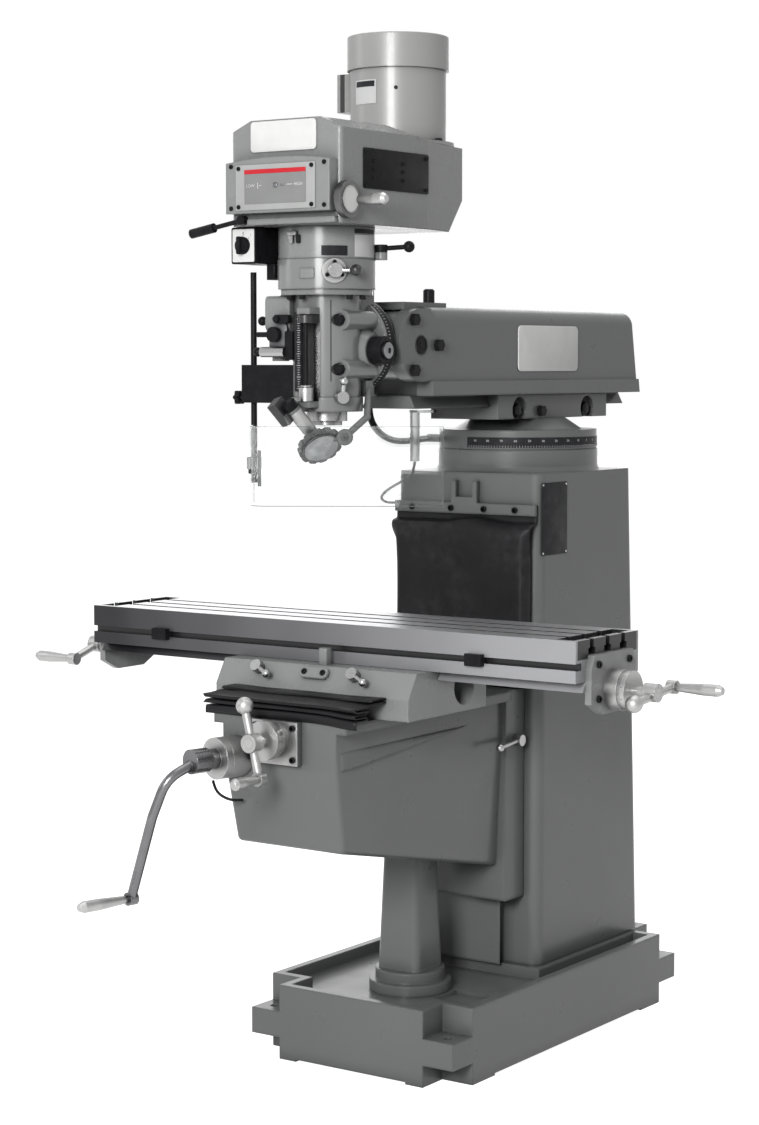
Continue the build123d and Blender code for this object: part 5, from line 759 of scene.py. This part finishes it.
def cover_path():
    """Folded line as (y, z, layer): the front stack, the mat and the stack at the saddle."""
    near, far = COVER_FRONT_Y
    mat, last = COVER_REAR_Y
    path = [(near - COVER_FOLD, 805.5, 0), (near - COVER_FOLD, 818.0, 0), (near - 1.5, 820.6, 0)]
    z = COVER_FOOT_Z
    for layer in range(FRONT_LAYERS):
        start, end = (near, far) if layer % 2 == 0 else (far, near)
        path += [(y, z, layer) for y in (start, (near + far) / 2, end)]
        if layer < FRONT_LAYERS - 1:
            turn = end + 0.75 * (COVER_FOLD if layer % 2 == 0 else -COVER_FOLD)
            path += [(turn, z + 0.7, layer), (turn, z + 4.8, layer + 1)]
            z += 2 * COVER_FOLD
    path = path[:-2] + [(near + 12, z, FRONT_LAYERS), (far, z + 1.5, FRONT_LAYERS)]
    path.append((mat, COVER_REAR_Z, REAR_FIRST))
    z = COVER_REAR_Z
    for step in range(REAR_LAYERS):
        layer = REAR_FIRST + step
        end = last if step % 2 == 0 else mat
        path += [(y, z, layer) for y in ((mat + last) / 2, end)]
        if step < REAR_LAYERS - 1:
            turn = end + 0.75 * (COVER_FOLD if step % 2 == 0 else -COVER_FOLD)
            path.append((turn, z + 0.13 * COVER_REAR_PITCH, layer))
            path.append((turn, z + 0.87 * COVER_REAR_PITCH, layer + 1))
            path.append((end, z + COVER_REAR_PITCH, layer + 1))
            z += COVER_REAR_PITCH
    return path


def make_way_cover():
    """Folded rubber over the knee's ways, its layers fanned at their ends."""
    path = cover_path()
    bm = bmesh.new()
    layer_of = bm.verts.layers.float.new("layer")
    verts = []
    for y, z, layer in path:
        vert = bm.verts.new((-COVER_HALF, y, z))
        vert[layer_of] = layer
        verts.append(vert)
    edges = [bm.edges.new(pair) for pair in zip(verts, verts[1:])]
    drawn = bmesh.ops.extrude_edge_only(bm, edges=edges)["geom"]
    far_side = [g for g in drawn if isinstance(g, bmesh.types.BMVert)]
    bmesh.ops.translate(bm, vec=(2 * COVER_HALF, 0, 0), verts=far_side)
    across = [e for e in bm.edges if abs(e.verts[0].co.x - e.verts[1].co.x) > COVER_HALF]
    bmesh.ops.subdivide_edges(bm, edges=across, cuts=COVER_CUTS, use_grid_fill=True)
    for v in bm.verts:
        x, y, z = v.co
        layer = v[layer_of]
        at_front = layer < REAR_FIRST
        fan = smooth_step(90, COVER_HALF, abs(x))
        ragged = math.sin(2.4 * layer + (0.7 if x > 0 else 2.1))
        sag = 5.0 * smooth_step(100, COVER_HALF, x) if at_front else 0.0
        wave = 0.7 * math.sin(x / 34 + layer)
        spread = 0.55 * (layer - 2) if at_front else 1.1 * (layer - 7)
        x += fan * 3.0 * ragged
        y += fan * 1.5 * ragged + wave
        z += fan * spread - sag + 0.3 * wave
        v.co = Vector((x, y, z)) * MM
    obj = put("way_cover_folds", face_out(bm), "rubber", None, smooth=50)
    thicken(obj, COVER_T)
    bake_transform(obj)
    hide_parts("knee_way_cover")


make_apron()
make_way_cover()


# Axes of the upright round castings, as (x, y)
SPINDLE = (0, -570)
MOTOR = (0, -308)
TURRET = (0, 190)


def about(middle, radius, angle, z):
    """Place and outward direction on an upright round wall."""
    out = (math.cos(math.radians(angle)), math.sin(math.radians(angle)), 0)
    return (middle[0] + radius * out[0], middle[1] + radius * out[1], z), out


def on_wall(form, *wall):
    """Lays a form on an upright round wall."""
    return laid(form, *about(*wall))


def wrapped(middle, *sizes):
    """A curved plate round an upright axis."""
    return laid(curved_plate(*sizes), (*middle, 0))


def screws(places, out, radius, height):
    return joined([laid(socket_screw(radius, height), place, out) for place in places])


# Belt housing, panel and motor
BELT_FLANK_X = 140
BELT_FRONT_Y = -712
PANEL_FACE_Y = -740
PANEL_MARK_Z = 1899
MOTOR_FLANGE_BOLTS = (-95, -5, 85, 175)


def dress_belt_housing():
    plate_form = slab(236, 82, 2.2, 4)
    put("flank_cover_plate", laid(plate_form, (BELT_FLANK_X, -518, 1934), RIGHT), "plastic", "head")
    face = BELT_FLANK_X + 2
    places = [(face, y, z) for y in (-628, -408) for z in (1901, 1967)]
    places += [(face, y, z) for y in (-600, -494) for z in (1916, 1934, 1951)]
    put("flank_cover_screws", screws(places, RIGHT, 4.2, 2.4), "black", "head")
    badge = slab(167, 62, 3.2, 8, 1.2)
    put("front_bare_badge", laid(badge, (-3.5, BELT_FRONT_Y, 2000), FRONT), "white", "head")
    put("foot_lip", laid(slab(222, 13, 15, 3, 1.5), (23, BELT_FRONT_Y, 1827), FRONT), "pale", "head")


def dress_panel():
    inner = PANEL_FACE_Y - 2
    front = PANEL_FACE_Y - 2.9
    put("panel_inner_plate", laid(slab(202, 92, 2.0, 3), (-4, PANEL_FACE_Y, 1896), FRONT), "panel", "head")
    places = [(x, PANEL_FACE_Y, z) for x in (-118, 119) for z in (1855, 1940)]
    places += [(x, inner, z) for x in (-97, 89) for z in (1857, 1935)]
    put("panel_screws", screws(places, FRONT, 4.6, 2.6), "black", "head")
    put("panel_label", laid(slab(157, 70, 0.8, 1), (-3.5, inner, 1897), FRONT), "label", "head")
    put("panel_red_strip", laid(slab(157, 9, 0.5), (-3.5, PANEL_FACE_Y - 2.7, 1927.5), FRONT), "red", "head")
    prints = [(words("LOW", 9), -66), (words("HIGH", 9), 56)]
    prints += [(mark(1.2, 12), -47), (mark(5, 1.2), -41), (mark(14, 1.2), 34)]
    inks = [laid(form, (x, front, PANEL_MARK_Z), FRONT) for form, x in prints]
    put("panel_words", joined(inks), "white", "head")
    sight = turned([(0, 0), (6, 0), (6, 2), (4.5, 2.6), (4, 1.4), (0, 1.4)], 28)
    sights = [laid(sight, (-2, front, PANEL_MARK_Z), FRONT)]
    sights.append(laid(slab(9, 5, 1.6, 1.5), (15, front, PANEL_MARK_Z), FRONT))
    put("panel_sight", joined(sights), "dull_steel", "head")


def dress_motor():
    sheet = wrapped(MOTOR, 103.8, 1.0, 2090, 2141, -115, -82)
    put("motor_bare_plate", sheet, "light", "head")
    band = wrapped(MOTOR, 104.4, 0.8, 2126, 2138, -113, -84)
    put("motor_plate_band", band, "dark", "head")
    put("motor_plug", on_wall(pin(4, 2), MOTOR, 103.5, -58, 2122), "black", "head")
    places = [about(MOTOR, 113, a, 2012)[0] for a in MOTOR_FLANGE_BOLTS]
    bolts = [laid(hex_head(7.5, 6), place) for place in places]
    bolts += [laid(disc(9.5, 1.6), place) for place in places]
    put("motor_flange_bolts", joined(bolts), "black", "head")


# Gear housings
GEAR_WALL_R = 100.8
GEAR_PLATE_T = 0.9
RANGE_DISC_Z = 1728
RANGE_SCREWS_R = 18


def dress_gear_housings():
    wall = (SPINDLE, GEAR_WALL_R, GEAR_PLATE_T)
    put("gear_black_plate", wrapped(*wall, 1759, 1779, -60, -29), "dark", "head")
    put("gear_light_plate", wrapped(*wall, 1757, 1802, -19, 21), "light", "head")
    put("gear_dark_strip", wrapped(*wall, 1805, 1814, -19, 21), "dark", "head")
    put("gear_side_boss", wrapped(SPINDLE, 102.6, 2.0, 1712, 1733, -86, -68), "pale", "head")
    latch = [on_wall(slab(11, 26, 7, 3), SPINDLE, 100, -98, 1797)]
    latch.append(on_wall(slab(22, 9, 10, 3), SPINDLE, 100, -95, 1805))
    put("gear_latch", joined(latch), "bright", "head")
    put("gear_latch_keeper", on_wall(slab(9, 18, 6, 3), SPINDLE, 100, -88, 1793), "black", "head")
    place, out = about(SPINDLE, 98.5, -45, RANGE_DISC_Z)
    put("range_lever_disc", laid(disc(26, 8, 1.2), place, out), "satin", "head")
    ring = []
    for a in (0, 2.094, 4.189):
        aside = RANGE_SCREWS_R * math.sin(a)
        ring.append((place[0] + 8 * out[0] - aside * out[1], place[1] + 8 * out[1] + aside * out[0],
                     RANGE_DISC_Z + RANGE_SCREWS_R * math.cos(a)))
    put("range_disc_screws", screws(ring, out, 4.0, 2.2), "black", "head")
    rim = [about(SPINDLE, 90, a, 1679)[0] for a in (-112, -88, -22, 2)]
    put("gear_rim_screws", screws(rim, DOWN, 7, 9), "black", "head")


# Switch and speed dial
SWITCH_PLACE = (-126, -690, 1782)
SWITCH_FACE_Y = -691.4
DIAL_PLACE = (155.3, -700, 1867)


def dress_controls():
    put("switch_white_plate", laid(slab(57, 68, 1.4, 3), SWITCH_PLACE, FRONT), "white", "head")
    prints = [(words("0", 8), -126, 0.1, 1807), (words("1", 8), -106, 0.1, 1803)]
    prints += [(mark(0.9, 5), -126, 0, 1801.5), (mark(0.9, 5), -111, 0, 1797)]
    inks = [laid(form, (x, SWITCH_FACE_Y - rise, z), FRONT) for form, x, rise, z in prints]
    put("switch_numbers", joined(inks), "dark", "head")
    front = (SWITCH_PLACE[0], SWITCH_FACE_Y, SWITCH_PLACE[2])
    knob = [turned([(0, 0), (18, 0), (18, 5), (15.5, 9), (0, 9)]), slab(9, 37, 20, 4, 2)]
    put("switch_rotary_knob", joined([laid(form, front, FRONT) for form in knob]), "plastic", "switch_knob")
    put("switch_bracket", laid(slab(22, 40, 33, 3), (-96, -618, 1712)), "plastic", "head")
    put("speed_dial_plate", laid(disc(26, 1.2, 0.5), DIAL_PLACE, RIGHT), "white", "speed_dial")
    bead = turned([(0, 0), (27.6, 0), (27.6, 1.6), (26, 2.0), (26, 0.6), (0, 0.6)])
    put("speed_dial_bead", laid(bead, DIAL_PLACE, RIGHT), "satin", "speed_dial")


# Quill front
SCALE_TICKS = 33
SCALE_STEP = 4.8


def dress_quill_front():
    put("quill_scale_bar", laid(slab(16, 164, 15, 2), (-13, -640, 1562), FRONT), "dark", "head")
    ticks = []
    for n in range(SCALE_TICKS):
        stroke = mark(9 if n % 5 == 0 else 5, 0.9)
        ticks.append(laid(stroke, (-10, -655.2, 1486 + SCALE_STEP * n), FRONT))
    put("quill_scale_marks", joined(ticks), "white", "head")
    split = slab(1.8, 168, 1.0, 0, 0.2)
    put("housing_split_line", on_wall(split, SPINDLE, 71.6, -47, 1585), "dark", "head")
    nut = turned([(6, 0), (11.5, 0), (12, 1.5), (12, 3.6), (11, 4.8), (6, 4.8), (6, 0)], 36)
    put("stop_bright_nut", laid(nut, (14, -662, 1488.4)), "bright", "depth_stop_nut")
    bright = [laid(pin(11, 62), (-44, -656, 1562), LEFT), laid(pin(5, 22), (-104, -616, 1627), LEFT)]
    put("feed_trip_barrel", joined(bright), "bright", "head")
    wheel = turned([(0, 0), (9, 0), (9, 8), (16, 10), (16, 19), (14, 21), (0, 21)], 36)
    dark = [laid(round_knob(10), (-104, -656, 1562), LEFT)]
    dark.append(laid(wheel, (-72, -645, 1598), FRONT))
    dark.append(laid(pin(5.5, 34), (-84, -655, 1598), LEFT))
    dark.append(laid(slab(38, 18, 14, 6), (-54, -645, 1630), FRONT))
    dark.append(laid(pin(7, 10), (-62, -658, 1630), FRONT))
    dark.append(laid(slab(20, 60, 10, 4), (-36, -646, 1575), FRONT))
    put("feed_trip_knobs", joined(dark), "black", "head")
    put("feed_trip_plate", laid(slab(46, 66, 6, 12), (-66, -646, 1590), FRONT), "dull_steel", "head")


# Tilt flange and feed hub
TILT_Z = 1577
TILT_BAND_Y = -481
TILT_RIM_Y = -464
TILT_MARK_R = 102.7
TILT_HALVES = ((-88, 88), (92, 268))
FEED_HUB = (109.5, -512.7, 1565)


def half_bands(y, *sizes):
    """Two half rings round the tilt axis, parted at the sides."""
    return joined([laid(curved_plate(*sizes, *half), (0, y, TILT_Z), FRONT) for half in TILT_HALVES])


def dress_tilt_flange():
    """Dark degree band round the head's tilt flange, pale marks on it, and the adapter's dark rim behind."""
    put("tilt_degree_band", half_bands(TILT_BAND_Y, 101.7, 0.9, 0.5, 11), "dark", "head")
    put("tilt_adapter_rim", half_bands(TILT_RIM_Y, 99.7, 0.9, 1, 15), "dark", "adapter")
    marks = []
    for angle in range(-84, 85, 4):
        turn = math.radians(angle)
        out = (math.cos(turn), 0, math.sin(turn))
        long = 8 if angle % 20 == 0 else 5
        place = (TILT_MARK_R * out[0], TILT_BAND_Y - 0.5 - long / 2, TILT_Z + TILT_MARK_R * out[2])
        marks.append(laid(mark(1.1, long), place, out, FRONT))
    put("tilt_degree_marks", joined(marks), "white", "head")


def dress_feed_hub():
    hub = turned([(0, 0), (17, 0), (17, 9), (14, 11), (6, 11), (6, 7), (0, 7)], 36)
    put("feed_hub_boss", laid(hub, FEED_HUB, RIGHT), "dull_steel", "quill_feed_hub")
    ring = turned([(19, 0), (29, 0), (29, 1.6), (28, 2.6), (20, 2.6), (19, 1.6), (19, 0)], 48)
    put("feed_hub_rim", laid(ring, FEED_HUB, RIGHT), "black", "quill_feed_hub")


# Chip guard and lamp
GUARD_ROD = (-165, -607)
GUARD_KNOB_Z = 1466
GUARD_WAY = Vector((113, -161, 0)).normalized()
LAMP_AIM = Vector((0.646, -0.325, -0.69)).normalized()
LAMP_HEAD = Vector((42, -652, 1369))
LAMP_CAN = Vector((0, -705, 1457))
LAMP_KNUCKLE = Vector((94, -636, 1387))
LAMP_AXIS = Vector((0.55, -0.835, 0))


def dress_guard():
    y = GUARD_ROD[1]
    put("guard_stud", laid(pin(4.5, 22), (-179, y, GUARD_KNOB_Z), LEFT), "bright", "head")
    put("guard_star_knob", laid(star_knob(14, 13), (-198, y, GUARD_KNOB_Z), LEFT), "plastic", "head")
    inner = Vector((-GUARD_WAY.y, GUARD_WAY.x, 0))
    sheet = Vector((*GUARD_ROD, 1318)) + 62 * GUARD_WAY + 1.5 * inner
    grip = [laid(slab(13, 76, 7, 3), sheet + 9 * inner, inner)]
    for z in (-26, 26):
        grip.append(laid(pin(4, 10), sheet + Vector((0, 0, z)), inner))
    put("guard_sheet_grip", joined(grip), "black", "guard_shield")


def dress_lamp():
    face = LAMP_HEAD + 7 * LAMP_AIM
    lens = turned([(0, 0), (38, 0), (38, 1.2), (20, 3.2), (0, 4.0)], 48)
    put("lamp_frosted_lens", laid(lens, face, LAMP_AIM), "lens", "head")
    bead = turned([(37, 0), (41, 0), (41, 2.6), (39, 3.4), (37, 2.6), (37, 0)], 48)
    put("lamp_lens_bead", laid(bead, face, LAMP_AIM), "lamp", "head")
    joint = [laid(disc(17, 20, 2), LAMP_KNUCKLE - 10 * LAMP_AXIS, LAMP_AXIS)]
    joint.append(laid(socket_screw(7, 5), LAMP_KNUCKLE + 9.5 * LAMP_AXIS, LAMP_AXIS))
    put("lamp_knuckle_discs", joined(joint), "lamp", "head")
    way = (LAMP_CAN - (LAMP_HEAD - 16 * LAMP_AIM)).normalized()
    sleeve = turned([(14, 0), (15.2, 0), (15.2, 52), (14, 52), (14, 0)])
    put("lamp_can_sleeve", laid(sleeve, LAMP_CAN - 74 * way, way, FRONT), "satin", "head")
    cap = turned([(0, 0), (15.4, 0), (15.4, 15), (12.5, 18), (0, 18)])
    put("lamp_can_cap", laid(cap, LAMP_CAN - 15 * way, way, FRONT), "plastic", "head")


# Ram, turret and column
RAM_SIDE_X = 111
RAM_PIN = (63, -281, 1669.5)
TURRET_BAND_Z = 1346
TURRET_BOLT_Z = 1431
COLUMN_SIDE_X = 195


def dress_ram():
    plug = turned([(0, 0), (19.6, 0), (19.6, 2.5), (17, 3.5), (15, 1.2), (7, 1.2), (7, 3), (0, 3)])
    put("ram_pivot_plug", laid(plug, (RAM_SIDE_X, -381, TILT_Z), RIGHT), "black", "adapter")
    badge = slab(264, 104, 3.2, 12, 1.2)
    put("ram_bare_badge", laid(badge, (RAM_SIDE_X, 140, 1572), RIGHT), "white", "ram")
    sleeve = turned([(9, 0), (12.5, 0), (12.5, 26), (11, 28), (9, 28), (9, 0)], 32)
    put("ram_pin_sleeve", laid(sleeve, RAM_PIN), "black", "ram")


def dress_turret():
    put("turret_degree_band", wrapped(TURRET, 184.6, 1.1, TURRET_BAND_Z, 1369, -97, 83), "dark", "turret")
    marks = []
    for angle in range(-95, 83, 2):
        long = 7 if angle % 10 == 0 else 4
        marks.append(on_wall(mark(0.7, long), TURRET, 185.9, angle, TURRET_BAND_Z + 0.5 + long / 2))
    for angle in range(-90, 81, 10):
        marks.append(on_wall(words(str(abs(angle)), 7), TURRET, 186.0, angle, 1361))
    put("turret_degree_marks", joined(marks), "white", "turret")
    bolts = []
    for y in (50, 355):
        bolts.append(laid(disc(20, 3), (75, y, TURRET_BOLT_Z), RIGHT))
        bolts.append(laid(hex_head(15, 12), (77, y, TURRET_BOLT_Z), RIGHT))
    put("turret_clamp_bolts", joined(bolts), "black", "turret")


def dress_column():
    plate_form = slab(110, 164, 1.4, 3)
    put("column_bare_plate", laid(plate_form, (COLUMN_SIDE_X, 33, 1188), RIGHT), "dark", "root")
    rivets = []
    for y in (-17, 83):
        for z in (1111, 1265):
            rivet = turned([(0, 0), (3, 0), (2.4, 1.2), (0, 1.6)], 20)
            rivets.append(laid(rivet, (COLUMN_SIDE_X + 1.2, y, z), RIGHT))
    put("column_plate_rivets", joined(rivets), "bright", "root")
    places = [(x, -44, 1208) for x in (-142, -34, 55, 138)]
    put("apron_bar_screws", screws(places, FRONT, 7, 5), "black", "root")


# Knee, saddle and table
KNEE_SIDE_X = 147
# Raised line of the ridge as (y, z, rise), and its top corner
RIDGE_LINE = [(-727, 707, 0), (-690, 710, 4.5), (-290, 743.6, 3.5), (-250, 747, 0)]
RIDGE_TOP = (-727, 747)
RIDGE_SINK = -1
OIL_PIPE = [(-151, -770, 668), (-148, -768, 652), (-138, -764, 638), (-120, -757, 629), (-106, -748, 627),
            (-98, -736, 627)]
OIL_PIPE_R = 3.0
SADDLE_BROW = Vector((0, -0.856, 0.516))
STOP_SEAT = Vector((0, -612, 887))
TABLE_Y = -425


def flank_ridge(side):
    """Shallow ridge where the knee's flank steps in; it runs up towards the column."""
    bm = bmesh.new()
    raised = [bm.verts.new((side * y, z, rise)) for y, z, rise in RIDGE_LINE]
    foot = [bm.verts.new((side * y, z, RIDGE_SINK)) for y, z, rise in RIDGE_LINE]
    top, top_foot = [bm.verts.new((side * RIDGE_TOP[0], RIDGE_TOP[1], rise)) for rise in (0, RIDGE_SINK)]
    for n in range(len(RIDGE_LINE) - 1):
        bm.faces.new((raised[n], raised[n + 1], top))
        bm.faces.new((foot[n], foot[n + 1], raised[n + 1], raised[n]))
    bm.faces.new((*foot, top_foot))
    bm.faces.new((foot[0], raised[0], top, top_foot))
    bm.faces.new((raised[-1], foot[-1], top_foot, top))
    return laid(face_out(bm), (side * KNEE_SIDE_X, 0, 0), (side, 0, 0))


def dress_knee():
    ridges = joined([flank_ridge(1), flank_ridge(-1)])
    put("knee_flank_ridges", ridges, "column", "knee", smooth=20)
    places = [(x, -757, z) for x in (-48, 48) for z in (727, 793)]
    put("cross_bracket_screws", screws(places, FRONT, 6.5, 4.5), "black", "knee")
    put("oil_pipe", tube_along(line_of("oil_pipe_line", OIL_PIPE), OIL_PIPE_R * MM), "black", "knee")


def dress_saddle():
    forms = [laid(slab(72, 26, 9, 12, 2), STOP_SEAT, SADDLE_BROW)]
    forms.append(laid(slab(20, 20, 60, 2, 1), (0, -578, 879)))
    forms.append(laid(slab(20, 38, 18, 2, 1), (0, -594, 880)))
    put("table_stop_block", joined(forms), "pale", "saddle")
    places = [STOP_SEAT + Vector((x, 0, 0)) + 8.4 * SADDLE_BROW for x in (-24, 24)]
    put("table_stop_screws", screws(places, SADDLE_BROW, 6.5, 3.5), "black", "saddle")


def dress_table():
    ends = []
    for x, out in ((612, RIGHT), (-688, LEFT)):
        places = [(x, TABLE_Y + y, z) for y in (-62, 62) for z in (868, 938)]
        ends.append(screws(places, out, 7.5, 5))
    put("end_bracket_screws", joined(ends), "black", "table")


for dress in (dress_feed_hub, dress_belt_housing, dress_panel, dress_motor, dress_gear_housings,
              dress_controls, dress_quill_front, dress_tilt_flange, dress_guard, dress_lamp, dress_ram,
              dress_turret, dress_column, dress_knee, dress_saddle, dress_table):
    dress()


# Stage
FLOOR_HALF = 30
FLOOR_GLOW = 0.95
WORLD_SEEN = 1.0
WORLD_FILL = 0.19
WHITE = (1, 1, 1, 1)


def seen_rays(tree):
    """1 for the rays that show the white background: from the camera, off metal and through glass."""
    path = tree.nodes.new("ShaderNodeLightPath")
    seen = path.outputs["Is Camera Ray"]
    for ray in ("Is Glossy Ray", "Is Transmission Ray"):
        either = tree.nodes.new("ShaderNodeMath")
        either.operation = "MAXIMUM"
        tree.links.new(seen, either.inputs[0])
        tree.links.new(path.outputs[ray], either.inputs[1])
        seen = either.outputs[0]
    return seen


def make_floor():
    bm = bmesh.new()
    bmesh.ops.create_grid(bm, x_segments=1, y_segments=1, size=FLOOR_HALF)
    mesh = mesh_of("studio_floor", bm)
    floor = add("studio_floor", mesh)
    f = Finish("white_floor", (0.6, 0.6, 0.6), 0.9)
    mesh.materials.append(f.material)
    f.set("Emission Color", WHITE)
    f.set("Emission Strength", f.math("MULTIPLY", seen_rays(f.tree), FLOOR_GLOW))


def make_world():
    world = bpy.data.worlds.new("studio_world")
    bpy.context.scene.world = world
    world.use_nodes = True
    tree = world.node_tree
    level = tree.nodes.new("ShaderNodeMapRange")
    level.inputs["To Min"].default_value = WORLD_FILL
    level.inputs["To Max"].default_value = WORLD_SEEN
    tree.links.new(seen_rays(tree), level.inputs["Value"])
    back = tree.nodes["Background"]
    back.inputs["Color"].default_value = WHITE
    tree.links.new(level.outputs[0], back.inputs["Strength"])


def make_lamp(name, place, aim, size, power):
    data = bpy.data.lights.new(name, "AREA")
    data.shape = "RECTANGLE"
    data.size, data.size_y = size
    data.energy = power
    obj = add(name, data)
    obj.location = place
    obj.rotation_euler = (Vector(aim) - Vector(place)).to_track_quat("-Z", "Y").to_euler()


make_floor()
make_world()
make_lamp("key_softbox", (1.7, -5.7, 2.7), (0, -0.4, 1.3), (1.6, 1.6), 325)
make_lamp("left_softbox", (-4.4, -2.6, 3.0), (0, -0.3, 1.2), (1.4, 2.4), 28)
make_lamp("top_softbox", (0.2, 0.2, 5.2), (0, -0.2, 0.0), (4.2, 4.2), 95)
make_lamp("rear_softbox", (-3.2, 4.4, 3.2), (0, 0.2, 1.0), (4.6, 4.6), 80)

camera = bpy.data.cameras.new("photo_camera")
camera.sensor_fit = "VERTICAL"
camera.sensor_height = 36
camera.sensor_width = 36
camera.lens = 77.8
camera_object = add("photo_camera", camera)
camera_object.location = (3.0269, -4.6928, 1.54154)
camera_object.rotation_euler = (math.radians(85.28), 0, math.radians(35.05))
bpy.context.scene.camera = camera_object
bpy.context.scene.view_settings.view_transform = "Standard"
